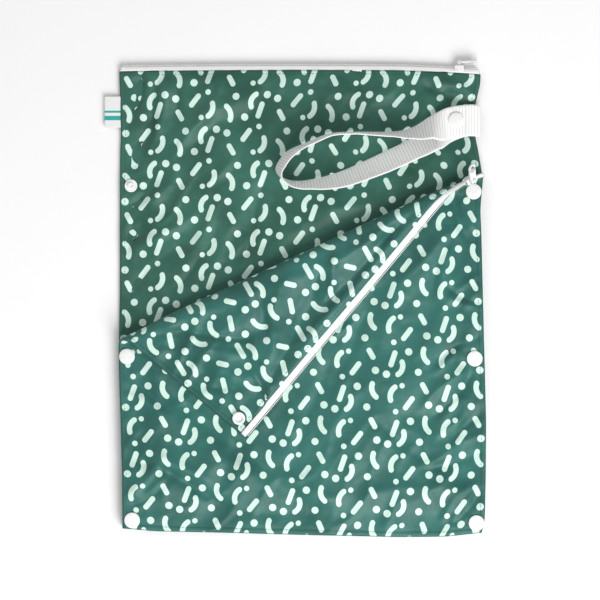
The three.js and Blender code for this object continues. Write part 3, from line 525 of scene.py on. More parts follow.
def zipTape(kind, zipper):
    # the woven tape from inside the mouth out to the coil, both tapes as one soft wedge
    half, reach, tip = zipper["leg"], zipper["reach"], tape["tip"]
    profile = [(-tape["tuck"], .75 * half), (-.5, half), (.4 * reach, lerp(half, tip, .3)),
               (.8 * reach, lerp(half, tip, .8)), (reach - .25, tip), (reach, .6 * tip)]
    out, away = np.array(profile + [(v, -w) for v, w in profile[::-1]]).T
    rings, uv = [], []
    for x in np.arange(tape["end"], bag["width"] - tape["end"] + .1, tape["step"]):
        fromSide = min(x, bag["width"] - x)
        w = away * min(1, zipper["endLeg"] + fromSide / tape["thinEnd"])
        ripple = .12 * math.sin(x * .31) + .08 * math.sin(x * .83)
        tucked = smooth(fromSide, tape["sewn"], tape["sewn"] + tape["sewnEase"])
        v = np.where(out < tape["hidden"],
                     lerp(tape["hidden"] + .05 * (out + tape["tuck"]), out, tucked), out)
        rings.append(zipper["place"](np.full(len(v), x), zipper["height"] + v,
                                     zipper["middle"] + w + ripple))
        uv += [(x, a + (tape["underside"] if b < 0 else 0)) for a, b in zip(v, w)]
    return sweep(kind + "ZipTape", rings, uv)


def zipCoil(kind, zipper):
    # nylon loops round the edge of the tape, one every pitch
    foot = zipper["reach"] + .1
    blocks = []
    for x in np.arange(coil["end"], bag["width"] - coil["end"], coil["pitch"]):
        turns = np.linspace(-1.25, 1.25, 5)
        v = foot + coil["depth"] * np.cos(turns * 1.1) * .9 + .1
        w = coil["half"] * np.sin(turns * 1.1) / math.sin(1.375)
        lean = .22 * np.sin(turns)
        path = zipper["place"](x + lean, zipper["height"] + v, zipper["middle"] + w * .82)
        blocks.append(bead(path, coil["wire"]))
    return joined(kind + "ZipCoil", blocks)


def frameOf(point, along, across):
    z = Vector(along).normalized()
    x = Vector(across)
    x = (x - z * x.dot(z)).normalized()
    y = z.cross(x)
    turned = Matrix((x, y, z)).transposed().to_4x4()
    return Matrix.Translation(point) @ turned


def mouthFrame(zipper):
    # at the slider: the mouth's point, the way out of it, and the way along it
    x, y = bag["width"] - zipper["inset"], zipper["height"] + zipper["reach"]

    def at(right, up):
        return Vector(zipper["place"](x + right, y + up, zipper["middle"]))

    out = (at(0, .5) - at(0, -.5)).normalized()
    return at(0, 0), out, (at(.5, 0) - at(-.5, 0)).normalized()


def pinFrame(zipper):
    spot, out, along = mouthFrame(zipper)
    pin = Matrix.Rotation(math.radians(zipper["twist"]), 3, out) @ along.cross(out).normalized()
    top = 2 * slider["gap"] + slider["coil"] + slider["wall"]
    return frameOf(spot + out * (top + slider["pinLift"]), pin, out)


def startEdit():
    bpy.ops.object.mode_set(mode="EDIT")
    bpy.ops.mesh.select_all(action="DESELECT")
    bpy.ops.mesh.select_mode(type="FACE")


def pickFaces(test):
    # selects the faces of the open mesh that pass a test on their middle and normal
    work = bmesh.from_edit_mesh(bpy.context.edit_object.data)
    for face in work.faces:
        face.select_set(bool(test(face.calc_center_median(), face.normal)))
    work.select_flush_mode()
    bmesh.update_edit_mesh(bpy.context.edit_object.data)


def finishEdit():
    bpy.ops.object.mode_set(mode="OBJECT")
    return bpy.context.object


def pickOnly(piece=None):
    for other in bpy.context.selected_objects:
        other.select_set(False)
    if piece:
        bpy.context.view_layer.objects.active = piece
        piece.select_set(True)


def addedPiece(name, operator, **settings):
    pickOnly()
    operator(**settings)
    piece = bpy.context.object
    piece.name = name
    piece.data.name = name
    bpy.ops.object.transform_apply(location=True, rotation=True, scale=True)
    return piece


def addedBlock(name, size, spot=(0, 0, 0)):
    return addedPiece(name, bpy.ops.mesh.primitive_cube_add, size=1, scale=size, location=spot)


def addedDisc(name, radius, depth, sides, spot=(0, 0, 0)):
    return addedPiece(name, bpy.ops.mesh.primitive_cylinder_add, vertices=sides, radius=radius,
                      depth=depth, location=spot)


def applied(piece, kind, **settings):
    # adds a modifier, sets it and applies it
    pickOnly(piece)
    modifier = piece.modifiers.new(kind, kind)
    for key, value in settings.items():
        setattr(modifier, key, value)
    bpy.ops.object.modifier_apply(modifier=modifier.name)
    return piece


def rounded(piece, width, segments, **settings):
    return applied(piece, "BEVEL", width=width, segments=segments, **settings)


def combined(piece, tool, operation="DIFFERENCE"):
    # cuts a piece with a tool, or joins them, and drops the tool
    applied(piece, "BOOLEAN", operation=operation, object=tool, solver="EXACT")
    bpy.data.objects.remove(tool)


def smoothed(piece, angle):
    pickOnly(piece)
    bpy.ops.object.shade_smooth_by_angle(angle=math.radians(angle))
    return piece


def placed(piece, matrix):
    # puts a piece that was made round the origin, in millimetres, where it belongs
    piece.data.transform(Matrix.Scale(mm, 4) @ matrix)
    if matrix.determinant() < 0:
        piece.data.flip_normals()
    piece.data.update()
    return piece


def copied(piece, name):
    twin = piece.copy()
    twin.data = piece.data.copy()
    twin.name = name
    twin.data.name = name
    bpy.context.scene.collection.objects.link(twin)
    return twin


def drawFace(*steps):
    # draws the selected face out by each rise, and makes it smaller or larger each time
    for rise, grow in steps:
        bpy.ops.mesh.extrude_region_move(TRANSFORM_OT_translate={"value": (0, 0, rise)})
        bpy.ops.transform.resize(value=(grow, grow, 1))


snap = {"cap": 6.2, "rim": .35, "post": 1.6, "socket": 5, "socketThick": 2, "socketDepth": 1.5,
        "knob": 2.7, "knobHeight": 1.3, "gap": .3, "sides": 40, "smooth": 40}
# The cap's dome from its rim to its top, and the stud's flange and knob: rise and growth of each step
domeSteps = ((.10, 1.02), (.14, 1.005), (.14, .985), (.14, .955), (.16, .91), (.17, .83),
             (.14, .72), (.10, .56), (.05, .4))
flangeSteps = ((.22, 1 / .94), (.18, 1), (.18, .95), (.02, .86), (-.22, .95), (0, .70), (.30, .96))
knobSteps = ((snap["knobHeight"] * .5, 1), (snap["knobHeight"] * .3, 1.03), (.14, .88), (0, .62),
             (-.5, .9))
baseSteps = ((-.3, 1 / .96), (-.3, .99), (-.4, .9), (-.3, .75), (-.1, .6))


def pickTop(way):
    pickFaces(lambda spot, normal: normal.z * way > .9)


def domedCap():
    # a low dome with a rounded rim, its post and the socket, from the cloth's back face up
    top = bag["seamThick"] + snap["gap"]
    cap = addedDisc("snapCap", snap["cap"] * .97, snap["rim"], snap["sides"],
                    (0, 0, top + snap["rim"] / 2))
    socket, knob = snap["socket"], snap["knob"]
    startEdit()
    pickTop(1)
    drawFace(*domeSteps)
    pickTop(-1)
    drawFace((0, snap["post"] / snap["cap"] / .97), (-top + .02 - snap["gap"], 1),
             (0, (socket - .4) / snap["post"]), (-.25, socket / (socket - .4)),
             (-snap["socketThick"] + .5, 1), (-.25, (socket - .35) / socket),
             (0, (knob + 1.1) / (socket - .35)), (.35, .96),
             (0, (knob + .35) / (knob + 1.1) / .96), (snap["socketDepth"] - .35, .94))
    finishEdit()
    return smoothed(cap, snap["smooth"])


def studWithKnob():
    # the base behind the cloth, its post, and the flange and knob in front of it
    stud = addedDisc("snapStud", snap["socket"] * .94, .2, snap["sides"], (0, 0, snap["gap"] + .1))
    startEdit()
    pickTop(1)
    drawFace(*flangeSteps, *knobSteps)
    pickTop(-1)
    drawFace((0, snap["post"] / snap["socket"] / .94), (-bag["seamThick"] - 2 * snap["gap"], 1),
             (0, snap["cap"] * .96 / snap["post"]), *baseSteps)
    finishEdit()
    return smoothed(stud, snap["smooth"])


capModel, studModel = domedCap(), studWithKnob()
snapPieces = []
for name, spot in snapSpots.items():
    low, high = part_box(name)
    model = studModel if "_stud" in name else capModel
    piece = copied(model, name.replace("_", "") + "Plastic")
    span = [v.co.z for v in piece.data.vertices]
    stretch = (high.z - low.z) / mm / (max(span) - min(span))  # the post is as long as its cloth is thick
    foot = min(span) * stretch
    if name == "front_snap_1":  # on the folded corner, so upside down
        turned = Matrix.Rotation(math.pi, 4, "X")
        place = Matrix.Translation((spot.x, spot.y, high.z / mm + foot)) @ turned
    else:
        place = Matrix.Translation((spot.x, spot.y, low.z / mm - foot))
    placed(piece, place @ Matrix.Diagonal((1, 1, stretch, 1)))
    snapPieces.append((piece, name))
for model in (capModel, studModel):
    bpy.data.objects.remove(model)
print("snaps set")


def zipSlider(kind, zipper):
    # a coil slider: body round the nose, a bridge over it and the pin of the pull
    spot, out, along = mouthFrame(zipper)
    wall, gap, length = slider["wall"], slider["gap"], slider["length"]
    thick = max(zipper["slider"], coil["half"] + gap) + wall
    ceiling = gap * 2 + slider["coil"]
    depth = zipper["reach"] + ceiling
    body = addedBlock(kind + "ZipSlider", (depth, length, 2 * thick), (ceiling + wall - depth / 2, 0, 0))
    startEdit()
    bpy.ops.mesh.select_all(action="SELECT")
    bpy.ops.mesh.subdivide(number_cuts=3)
    work = bmesh.from_edit_mesh(body.data)
    for vert in work.verts:
        end = vert.co.y / length * 2
        vert.co.z *= 1 - slider["nose"] * max(end, 0) ** 2 - slider["tail"] * max(-end, 0) ** 2
        vert.co.x -= .5 * abs(end) ** 3 * (1 if vert.co.x > 0 else -.6)
    bmesh.update_edit_mesh(body.data)
    finishEdit()
    rounded(body, slider["round"], 3, limit_method="ANGLE", angle_limit=math.radians(50))
    channel = addedBlock("channel", (depth + 2, length + 2, 2 * (thick - wall)),
                         (ceiling - depth / 2 - 1, 0, 0))
    combined(body, channel)
    placed(body, frameOf(spot, along.cross(out), out))
    nose = slider["knuckle"] * .6
    lugLength = slider["pinLift"] + nose + wall * .5
    lug = addedBlock("lug", (lugLength, slider["knuckle"] * 1.4, slider["lug"]),
                     (nose - lugLength / 2, 0, 0))
    rounded(lug, .45, 3)
    pin = addedDisc("pin", slider["pin"], pull["base"] * .9, 20)
    rounded(pin, .2, 2, limit_method="ANGLE")
    for part in (lug, pin):
        combined(body, placed(part, pinFrame(zipper)), "UNION")
    return smoothed(body, 35)


def zipPull():
    # a tapered tab with a round eye, its knuckle slotted round the slider's lug
    tip, base, thick = pull["tip"] / 2, pull["base"], pull["thick"]
    eyeAt = pull["length"] - tip
    tab = addedBlock("pullModel", (eyeAt, base, thick), (eyeAt / 2, 0, 0))
    startEdit()
    pickFaces(lambda spot, normal: normal.x > .9)
    bpy.ops.transform.resize(value=(1, pull["tip"] / base, 1), center_override=(0, 0, 0))
    finishEdit()
    combined(tab, addedDisc("disc", tip, thick, 40, (eyeAt, 0, 0)), "UNION")
    combined(tab, addedDisc("eye", pull["hole"], 6, 40, (eyeAt, 0, 0)))
    rounded(tab, .35, 3, limit_method="ANGLE", angle_limit=math.radians(50))
    tab.data.transform(Matrix.Rotation(math.pi / 2, 4, "X"))
    knuckle = addedDisc("knuckle", slider["knuckle"], base, 28)
    rounded(knuckle, .3, 2, limit_method="ANGLE")
    combined(tab, knuckle, "UNION")
    slot = slider["knuckle"] * 2 + 1
    combined(tab, addedBlock("slot", (slot * 2, slot, slider["lug"] + 2 * slider["gap"]),
                             (-slot * .4, 0, 0)))
    combined(tab, addedDisc("bore", slider["pin"] + slider["gap"], base * 2, 24))
    return smoothed(cleaned(tab, .002, .001), 35)


pullModel = zipPull()
zipPieces = {}
for kind, zipper in zips.items():
    zipPieces[kind] = {"tape": zipTape(kind, zipper), "coil": zipCoil(kind, zipper),
                       "slider": zipSlider(kind, zipper), "pull": copied(pullModel, kind + "ZipPull")}
    lean = Matrix.Rotation(math.radians(zipper["lean"]), 4, "Z")
    placed(zipPieces[kind]["pull"], pinFrame(zipper) @ lean)
bpy.data.objects.remove(pullModel)
print("zips closed")

# The webbing strap, from its seam out, round the loop and back to its snap. Each row has its lower
# edge, left of the seam and down from its top in shares of the reach, then turn and lean in
# degrees and how high it lies: 1 on the low level, 2 on the high one.
strap = {"wide": 25, "thick": 1.3, "reach": 157.8, "seamX": 137.5, "topY": 155.34, "low": 1.8,
         "high": 6.8, "rib": 2.45, "ribHeight": .34, "perRib": 6, "selvedge": 1.3, "columns": 18}
strapPath = [
    (-.02, 0, 0, 0, 0), (.05, 0, 0, 0, 1), (.15, .035, 6, 0, 1), (.23, .1, 17, 33, 0),
    (.33, .17, 23, 46, 0), (.48, .245, 22, 49, 0), (.68, .335, 17, 58, 0), (.83, .375, 6, 71, 0), (.91, .38, 0, 76, 0),
    (.965, .365, 24, 80, 0), (.998, .33, 50, 76, 0), (.99, .29, 57, 73, 0), (.945, .235, 60, 73, 0),
    (.86, .195, 65, 78, 0), (.73, .145, 15, 83, 0), (.6, .137, 0, 84, 0), (.42, .135, 11, 78, 0),
    (.32, .115, 10, 66, .9), (.23, .06, 6, 43, 1.6), (.15, .018, 1, 0, 2), (.06, .002, 0, 0, 2)]


def strapFoot(out, level):
    onSeam = 1 - min(max((out * strap["reach"] + 6) / 12, 0), 1)
    lift = min(level, 1) * strap["low"] + max(level - 1, 0) * (strap["high"] - strap["low"])
    return lerp(bag["mainThick"], bag["seamLift"] + bag["seamThick"], onSeam) + .3 + strap["thick"] / 2 + lift


def throughPoints(rows, at):
    # a smooth line through the rows at a place counted in rows
    low = min(int(at), len(rows) - 2)
    share = at - low
    p = [np.asarray(rows[min(max(low + k, 0), len(rows) - 1)], float) for k in (-1, 0, 1, 2)]
    slopeA, slopeB = (p[2] - p[0]) / 2, (p[3] - p[1]) / 2
    s2, s3 = share ** 2, share ** 3
    spots = (2 * s3 - 3 * s2 + 1) * p[1] + (s3 - 2 * s2 + share) * slopeA
    return spots + (3 * s2 - 2 * s3) * p[2] + (s3 - s2) * slopeB


strapRoute = [row[:2] for row in strapPath]


def strapLine(at):
    x, y = np.array((strap["seamX"], strap["topY"])) - strap["reach"] * throughPoints(strapRoute, at)
    low = min(int(at), len(strapPath) - 2)
    share = at - low
    heights = [strapFoot(row[0], row[4]) for row in strapPath]
    z = lerp(heights[low], heights[low + 1], share)
    turn, lean = (math.radians(lerp(strapPath[low][k], strapPath[low + 1][k], share)) for k in (2, 3))
    flat = math.cos(lean)
    width = (flat * math.sin(turn), -flat * math.cos(turn), math.sin(lean))
    return np.array((x, y, z)), np.array(width)


def webbingStrap():
    fine = np.linspace(0, len(strapPath) - 1, 1600)
    feet, widths = (np.array(values) for values in zip(*(strapLine(at) for at in fine)))
    middle = feet + widths * strap["wide"] / 2
    run = np.concatenate([[0], np.cumsum(np.linalg.norm(np.diff(middle, axis=0), axis=1))])
    length = run[-1]
    count = int(length / strap["rib"]) * strap["perRib"]
    stops = np.linspace(0, length, count + 1)
    foot = np.stack([np.interp(stops, run, feet[:, k]) for k in range(3)], -1)
    width = np.stack([np.interp(stops, run, widths[:, k]) for k in range(3)], -1)
    width /= np.linalg.norm(width, axis=1)[:, None]
    way = np.gradient(foot + width * strap["wide"] / 2, axis=0)
    face = np.cross(way, width)
    face /= np.linalg.norm(face, axis=1)[:, None]
    across = np.linspace(0, 1, strap["columns"] + 1)
    rings, uv = [], []
    for i, stop in enumerate(stops):
        rib = abs(math.sin(math.pi * stop / strap["rib"])) ** .5
        toEdge = np.minimum(across, 1 - across) * strap["wide"]
        ribbed = smooth(toEdge, strap["selvedge"] * .5, strap["selvedge"])
        half = strap["thick"] / 2 * (.55 + .45 * smooth(toEdge, 0, .9))
        half = half - strap["ribHeight"] * (1 - rib) * ribbed * .5
        spread = foot[i] + np.outer(across * strap["wide"], width[i])
        over = spread + half[:, None] * face[i]
        under = spread - half[:, None] * face[i]
        rings.append(np.concatenate([under, over[::-1]]))
        uv += [(stop, a * strap["wide"]) for a in (*across, *across[::-1])]
    return sweep("webbingStrap", rings, uv), length


strapPiece, strapLength = webbingStrap()
print("strap looped,", round(strapLength), "mm")

tag = {"tuck": 1.2, "curl": .35, "step": .6, "sewn": .16, "open": .30}


def sideTag():
    # a folded ribbon: two layers with a rounded outer fold
    low, high = (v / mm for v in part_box("side_tag"))
    xs = np.linspace(high.x + tag["tuck"], low.x, 22)
    rings, uv = [], []
    for y in np.arange(low.y, high.y + .1, tag["step"]):
        bow = tag["curl"] * math.sin((y - low.y) / (high.y - low.y) * math.pi)
        outer = smooth(xs - low.x, 0, .9)
        opened = tag["sewn"] + tag["open"] * outer * (1 - .5 * smooth(xs - low.x, 6, 12))
        z = (low.z + high.z) / 2 + bow * (1 - outer * .4) * .3
        over = np.stack([xs, np.full(len(xs), y), z + opened], -1)
        under = np.stack([xs, np.full(len(xs), y), z - opened], -1)
        rings.append(np.concatenate([over, under[::-1]]))
        uv += [(x - low.x, y - low.y) for x in (*xs, *xs[::-1])]
    return sweep("sideTag", rings, uv)


tagPiece = sideTag()

stitch = {"long": 2.2, "every": 3.3, "thread": .24, "sunk": .06, "fromEnd": 4, "underMouth": 3.0}


def stitchRun(spotAt, length):
    # stitches laid along a path: spotAt gives a point for a distance
    blocks = []
    for begin in np.arange(stitch["fromEnd"], length - stitch["fromEnd"] - stitch["long"], stitch["every"]):
        path = np.array([spotAt(a) for a in np.linspace(begin, begin + stitch["long"], 5)])
        blocks.append(bead(path, stitch["thread"], 5))
    return blocks


def pouchStitches(name, height, place, skins, top):
    # the topstitching of the side seams, the bottom and the mouth, on the skin that faces up
    inset, wide = edge["stitchIn"], bag["width"]

    def on(x, y):
        low, high = skins(np.array([x]), np.array([y]))
        faceUp = high[0] - stitch["sunk"] if top(x, y) else low[0] + stitch["sunk"]
        return place(np.array([x]), np.array([y]), faceUp)[0]

    blocks = stitchRun(lambda a: on(inset, a), height)
    blocks += stitchRun(lambda a: on(wide - inset, a), height)
    blocks += stitchRun(lambda a: on(a, inset), wide)
    blocks += stitchRun(lambda a: on(a, height - stitch["underMouth"]), wide)
    return joined(name, blocks)


mainStitches = pouchStitches("mainStitches", bag["mainHeight"], swayed, mainSkins,
                             lambda x, y: True)
frontStitches = pouchStitches("frontStitches", bag["frontHeight"], placeFront, frontSkins,
                              lambda x, y: pastCrease(x, y) < 0)
print("stitched")


class Wire:
    # one shader socket, so that shader sums are written as sums
    def __init__(self, tree, socket=None):
        self.tree = tree
        self.socket = socket

    def node(self, kind, settings=None, values=None, out=0):
        made = self.tree.nodes.new(kind)
        for key, value in (settings or {}).items():
            setattr(made, key, value)
        for key, value in (values or {}).items():
            if isinstance(value, Wire):
                self.tree.links.new(value.socket, made.inputs[key])
            else:
                made.inputs[key].default_value = value
        return Wire(self.tree, made.outputs[out])

    def math(self, operation, first, second=0.0):
        return self.node("ShaderNodeMath", {"operation": operation}, {0: first, 1: second})

    def vector(self, operation, values, out=0):
        return self.node("ShaderNodeVectorMath", {"operation": operation}, values, out)

    def __add__(self, other):
        return self.math("ADD", self, other)

    def __radd__(self, other):
        return self.math("ADD", other, self)

    def __sub__(self, other):
        return self.math("SUBTRACT", self, other)

    def __rsub__(self, other):
        return self.math("SUBTRACT", other, self)

    def __mul__(self, other):
        return self.math("MULTIPLY", self, other)

    def __rmul__(self, other):
        return self.math("MULTIPLY", other, self)

    def __truediv__(self, other):
        return self.math("DIVIDE", self, other)

    def __abs__(self):
        return self.math("ABSOLUTE", self)

    def least(self, other):
        return self.math("MINIMUM", self, other)

    def most(self, other):
        return self.math("MAXIMUM", self, other)

    def floor(self):
        return self.math("FLOOR", self)

    def part(self, axis):
        return self.node("ShaderNodeSeparateXYZ", {}, {0: self}, "XYZ".index(axis))

    def step(self, low, high):
        # 0 below low, 1 above high, smooth between
        return self.node("ShaderNodeMapRange", {"interpolation_type": "SMOOTHSTEP"},
                         {0: self, 1: low, 2: high})

    def blend(self, first, second):
        # one colour to another by this mask
        ends = [(*c, 1) if isinstance(c, tuple) else c for c in (first, second)]
        return self.node("ShaderNodeMix", {"data_type": "RGBA"}, {0: self, 6: ends[0], 7: ends[1]}, 2)

    def uv(self, layer):
        # a UV map in millimetres
        raw = self.node("ShaderNodeUVMap", {"uv_map": layer})
        return self.vector("SCALE", {0: raw, 3: 1000.0})

    def cloud(self, size, detail=2.0):
        # soft noise in the piece's own frame, size is the width of its spots in millimetres
        where = self.node("ShaderNodeTexCoord", out=3)
        values = {"Vector": where, "Scale": 1000.0 / size, "Detail": detail}
        return self.node("ShaderNodeTexNoise", {}, values)


def finish(name, **sockets):
    # a material with a Principled shader; bump is a height in millimetres
    material = bpy.data.materials.new(name)
    material.use_nodes = True
    tree = material.node_tree
    shader = tree.nodes["Principled BSDF"]
    for key, value in sockets.items():
        spot = shader.inputs[key.replace("_", " ")]
        if callable(value):
            value = value(Wire(tree))
        if isinstance(value, Wire):
            tree.links.new(value.socket, spot)
        else:
            spot.default_value = value
    return material


def bump(wire, height):
    return wire.node("ShaderNodeBump", {}, {"Strength": 1.0, "Distance": mm, "Height": height})


def mottled(size, detail, low, high, light, dark):
    return lambda wire: wire.cloud(size, detail).step(low, high).blend(light, dark)


def varied(low, span, size, detail=2):
    return lambda wire: low + span * wire.cloud(size, detail)


def grained(size, detail, height):
    return lambda wire: bump(wire, wire.cloud(size, detail) * height)


# Dots, bars and bows in a half-drop repeat: the middle of each, then a dot's radius, a bar's turn
# in degrees and half length, or a bow's turn, radius and half opening
sprinkle = {"wide": 41.0, "tall": 54.0, "stroke": 4.2, "soft": .14}
dots = [(18.5, 4.5, 2.9), (11.5, 20.5, 2.8), (36.5, 22, 2.9), (24.5, 31, 2.1), (4, 46, 2.9), (30, 51, 2.2)]
bars = [(31, 10, 70, 4.9), (7, 33, -62, 3.0), (19.5, 44.5, 52, 4.4)]
bows = [(7, 8, 15, 9, 36), (24, 18, 160, 8, 40), (33.5, 36.5, -20, 9, 36)]


def sprinkleMask(wire):
    where = wire.uv("print")
    wide, tall, stroke = sprinkle["wide"], sprinkle["tall"], sprinkle["stroke"] / 2
    column = (where.part("X") / wide).floor()
    drop = abs(wire.math("MODULO", column, 2.0)) * (tall / 2)
    local = wire.node("ShaderNodeCombineXYZ", {},
                      {0: where.part("X") - column * wide, 1: where.part("Y") + drop})
    half = (100.0, tall / 2, 100.0)

    def near(spotX, spotY, turn=0.0):
        away = wire.vector("SUBTRACT", {0: local, 1: (spotX, spotY, 0)})
        away = wire.vector("WRAP", {0: away, 1: half, 2: tuple(-h for h in half)})
        if turn:
            away = wire.node("ShaderNodeVectorRotate", {"rotation_type": "Z_AXIS"},
                             {"Vector": away, "Angle": -math.radians(turn)})
        return away

    def length(vector):
        return wire.vector("LENGTH", {0: vector}, 1)

    distances = [length(near(spotX, spotY)) - radius for spotX, spotY, radius in dots]
    for spotX, spotY, turn, reach in bars:
        folded = wire.vector("ABSOLUTE", {0: near(spotX, spotY, turn)})
        folded = wire.vector("SUBTRACT", {0: folded, 1: (reach, 0, 0)})
        folded = wire.vector("MAXIMUM", {0: folded, 1: (0, 0, 0)})
        distances.append(length(folded) - stroke)
    for spotX, spotY, turn, radius, opening in bows:
        fromCentre = wire.vector("ADD", {0: near(spotX, spotY, turn), 1: (radius, 0, 0)})
        angle = abs(wire.math("ARCTAN2", fromCentre.part("Y"), fromCentre.part("X")))
        pastEnd = (angle - math.radians(opening)).most(0.0) * radius
        both = wire.node("ShaderNodeCombineXYZ", {}, {0: length(fromCentre) - radius, 1: pastEnd})
        distances.append(length(both) - stroke)
    nearest = distances[0]
    for distance in distances[1:]:
        nearest = nearest.least(distance)
    return 1 - nearest.step(-sprinkle["soft"], sprinkle["soft"])


# The main pouch's two greens are a darker, yellower copy of the front pouch's two: painted shade
cotton = {"green": (.025, .146, .122), "deep": (.015, .100, .083), "mainGreen": (.030, .137, .100),
          "mainDeep": (.016, .085, .058), "ink": (.655, .865, .77), "inkDim": (.60, .81, .72),
          "lining": (.012, .07, .058), "lit": 1.5, "patch": 34, "grain": .55, "wale": .62,
          "course": .8}


def waves(along, pitch):
    # a sine that repeats every pitch millimetres
    return along.math("SINE", along * (2 * math.pi / pitch))


def printedCloth(name, green, deep):
    def colour(wire):
        mask = sprinkleMask(wire)
        # broad patches of a deeper green: random tone, deepened into painted shade of the broad folds
        toneAndShadePatches = wire.cloud(cotton["patch"], 3).step(.35, .65)
        grain = wire.cloud(cotton["grain"], 2).step(.3, .7)
        ground = (grain * .22).blend(toneAndShadePatches.blend(deep, green), tuple(c * cotton["lit"] for c in green))
        ink = (grain * .5).blend(cotton["ink"], cotton["inkDim"])
        cut = wire.uv("seam")
        inward = cut.part("X").least(bag["width"] - cut.part("X")).least(cut.part("Y"))
        # painted shade: a dark line along the last millimetre at the sewn edge
        edgeShade = 1 - inward.step(.5, 1.0)
        # painted shade in the topstitch groove, which also dims the print there
        grooveShade = 1 - abs(inward - edge["stitchIn"]).step(.2, .7)
        ink = (grooveShade * .5).blend(ink, cotton["inkDim"])
        seamShade = (edgeShade * .8).most(grooveShade * .35 * (1 - mask * .7))
        # the painted shade along the edge and in the groove takes the lining's dark green
        outside = seamShade.blend(mask.blend(ground, ink), cotton["lining"])
        inside = wire.node("ShaderNodeAttribute", {"attribute_name": "inside"}, out=2)
        return inside.step(.4, .6).blend(outside, cotton["lining"])

    def rough(wire):
        return .40 + .12 * wire.cloud(12, 3) + .05 * sprinkleMask(wire)

    def relief(wire):
        where = wire.uv("seam")
        knit = waves(where.part("X"), cotton["wale"]) * .018
        knit = knit + waves(where.part("Y"), cotton["course"]) * .009
        return bump(wire, knit + wire.cloud(5, 4) * .22 + wire.cloud(1.6, 2) * .05)

    return finish(name, Base_Color=colour, Roughness=rough, Normal=relief, Sheen_Weight=.22,
                  Sheen_Roughness=.4, Specular_IOR_Level=.42)


def wovenTape(wire):
    where = wire.uv("seam")
    twill = waves(where.part("X") + where.part("Y") * 1.6, .9) * .035
    return bump(wire, twill + waves(where.part("Y"), .7) * .03 + wire.cloud(2.5, 3) * .08)


def tapeColour(wire):
    shade = wire.cloud(.8, 2).step(.3, .7) * .6 + wire.cloud(9, 2).step(.3, .7) * .4
    line = waves(wire.uv("seam").part("Y"), 1.5).step(.6, 1) * .5
    return (shade * .35 + line * .3).blend((.985, .985, .98), (.86, .86, .85))


tapeFinish = finish("whiteTape", Base_Color=tapeColour, Roughness=varied(.66, .14, 3),
                    Normal=wovenTape, Sheen_Weight=.15)
coilFinish = finish("whiteCoil", Roughness=varied(.34, .14, 1.5), Normal=grained(.6, 2, .04),
                    Base_Color=mottled(1.1, 2, .35, .7, (.93, .925, .91), (.78, .77, .75)))
plasticFinish = finish("whiteSnapPlastic", Roughness=varied(.30, .16, 2.2, 3),
                       Base_Color=mottled(4, 3, .35, .75, (.905, .91, .90), (.83, .835, .82)),
                       Normal=grained(1.2, 4, .05), Coat_Weight=.15, Subsurface_Weight=.08,
                       Subsurface_Scale=.002)
sliderFinish = finish("whiteEnamel", Roughness=varied(.24, .2, 1.8, 3), Coat_Weight=.3,
                      Base_Color=mottled(1.6, 3, .3, .8, (.90, .905, .90), (.74, .745, .74)),
                      Normal=grained(.7, 3, .05))
threadFinish = finish("greenThread", Roughness=varied(.55, .2, .5), Normal=grained(.25, 2, .05),
                      Base_Color=mottled(.7, 2, .3, .7, (.010, .07, .058), (.03, .12, .10)))


def webbingColour(wire):
    where = wire.uv("seam")
    # painted shade in the valleys between the ribs, away from the selvedges, with a little random mottling
    valley = 1 - abs(waves(where.part("X"), 2 * strap["rib"]))
    toEdge = where.part("Y").least(strap["wide"] - where.part("Y"))
    ribbed = toEdge.step(strap["selvedge"] * .6, strap["selvedge"] * 1.1)
    dark = valley.step(.5, 1.0) * ribbed * .75 + wire.cloud(.5, 2).step(.35, .7) * .08
    return dark.blend((.99, .99, .98), (.50, .50, .49))


def webbingRelief(wire):
    where = wire.uv("seam")
    yarns = waves(where.part("Y"), .85) * .05 + waves(where.part("X"), .5) * .02
    return bump(wire, yarns + wire.cloud(.6, 2) * .06)


webbingFinish = finish("whiteWebbing", Base_Color=webbingColour, Roughness=varied(.62, .16, 1.2),
                       Normal=webbingRelief, Sheen_Weight=.2)


def tagColour(wire):
    # two plain teal stripes on white ribbon
    y = wire.uv("seam").part("Y")
    stripes = abs(y - 7.5).step(1.6, 1.9).least(abs(y - 12.5).step(.7, 1.0))
    white = (wire.cloud(.6, 2) * .25).blend((.88, .885, .88), (.74, .75, .74))
    return stripes.blend((.012, .40, .36), white)


def tagRelief(wire):
    where = wire.uv("seam")
    weave = waves(where.part("X"), .45) * .02 + waves(where.part("Y"), .4) * .02
    return bump(wire, weave + wire.cloud(2, 2) * .05)


tagFinish = finish("whiteRibbon", Base_Color=tagColour, Roughness=varied(.5, .15, 2),
                   Normal=tagRelief, Sheen_Weight=.2)
# the main pouch wears the same printed cloth in its darker, yellower greens: painted shade
mainClothFinish = printedCloth("printedMainCloth", cotton["mainGreen"], cotton["mainDeep"])
frontClothFinish = printedCloth("printedFrontCloth", cotton["green"], cotton["deep"])
print("finishes mixed")


def wear(piece, material, slot, *nodes, body="root"):
    piece.data.materials.clear()
    piece.data.materials.append(material)
    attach(piece, body)
    if nodes:
        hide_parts(*nodes)


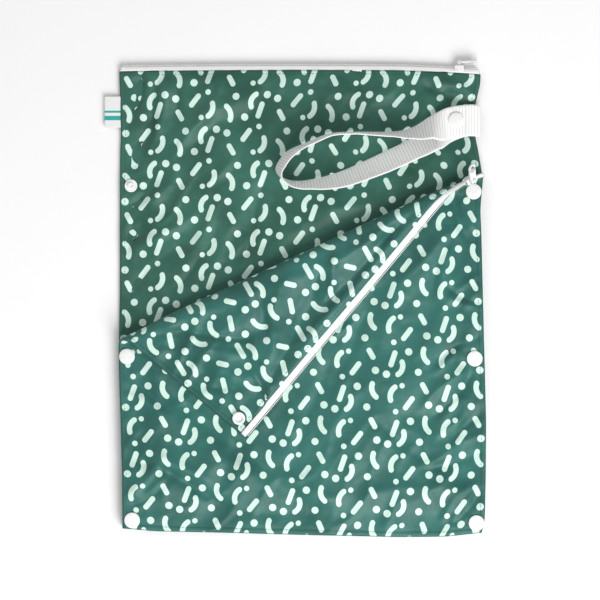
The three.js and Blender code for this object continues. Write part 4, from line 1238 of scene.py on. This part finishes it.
wear(mainPouch, mainClothFinish, "main_cloth", "main_bag")
wear(frontPouch, frontClothFinish, "front_cloth", "front_bag")
wear(strapPiece, webbingFinish, "webbing", "strap")
wear(tagPiece, tagFinish, "tag_cloth", "side_tag")
wear(mainStitches, threadFinish, "main_cloth")
wear(frontStitches, threadFinish, "front_cloth")
for kind, pieces in zipPieces.items():
    wear(pieces["tape"], tapeFinish, "zip_tape", kind + "_zip_tape")
    wear(pieces["coil"], coilFinish, "zip_coil", kind + "_zip_coil")
    wear(pieces["slider"], sliderFinish, "zip_plastic", kind + "_zip_slider")
    wear(pieces["pull"], sliderFinish, "zip_plastic", kind + "_zip_pull", body=zips[kind]["body"])
for piece, name in snapPieces:
    wear(piece, plasticFinish, "snap_plastic", name)

studio = {"floor": (.95, .95, .95), "floorSpots": (.925, .925, .92), "floorSize": 6, "world": .38,
          "key": 30, "keyAt": (.62, -1.02, 1.15), "keySize": 1.2,
          "fill": 7.0, "fillAt": (-1.2, .9, 1.3), "fillSize": 1.4}


def addLight(name, watts, spot, size):
    lamp = bpy.data.lights.new(name, "AREA")
    lamp.energy = watts
    lamp.size = size
    light = bpy.data.objects.new(name, lamp)
    light.location = spot
    light.rotation_euler = (-Vector(spot)).to_track_quat("-Z", "Y").to_euler()
    bpy.context.scene.collection.objects.link(light)


floor = addedPiece("floor", bpy.ops.mesh.primitive_plane_add, size=studio["floorSize"])
floor.data.materials.append(finish(
    "paleFloor", Roughness=.9,
    Base_Color=lambda wire: wire.cloud(60, 2).blend(studio["floor"], studio["floorSpots"])))
floor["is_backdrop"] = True
addLight("keyLight", studio["key"], studio["keyAt"], studio["keySize"])
addLight("fillLight", studio["fill"], studio["fillAt"], studio["fillSize"])
world = bpy.data.worlds.new("studioWorld")
world.use_nodes = True
background = world.node_tree.nodes["Background"]
background.inputs["Color"].default_value = (1, 1, 1, 1)
background.inputs["Strength"].default_value = studio["world"]
bpy.context.scene.world = world
bpy.context.scene.view_settings.view_transform = "Standard"

view = {"middle": (-1.19, 1.58), "across": 475.0, "height": 2.0, "sensor": 36.0}
camera = bpy.data.cameras.new("camera")
camera.sensor_width = view["sensor"]
camera.lens = view["sensor"] * view["height"] / (view["across"] * mm)
camera.clip_end = 20
eye = bpy.data.objects.new("camera", camera)
eye.location = (view["middle"][0] * mm, view["middle"][1] * mm, view["height"])
bpy.context.scene.collection.objects.link(eye)
bpy.context.scene.camera = eye

low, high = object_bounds()
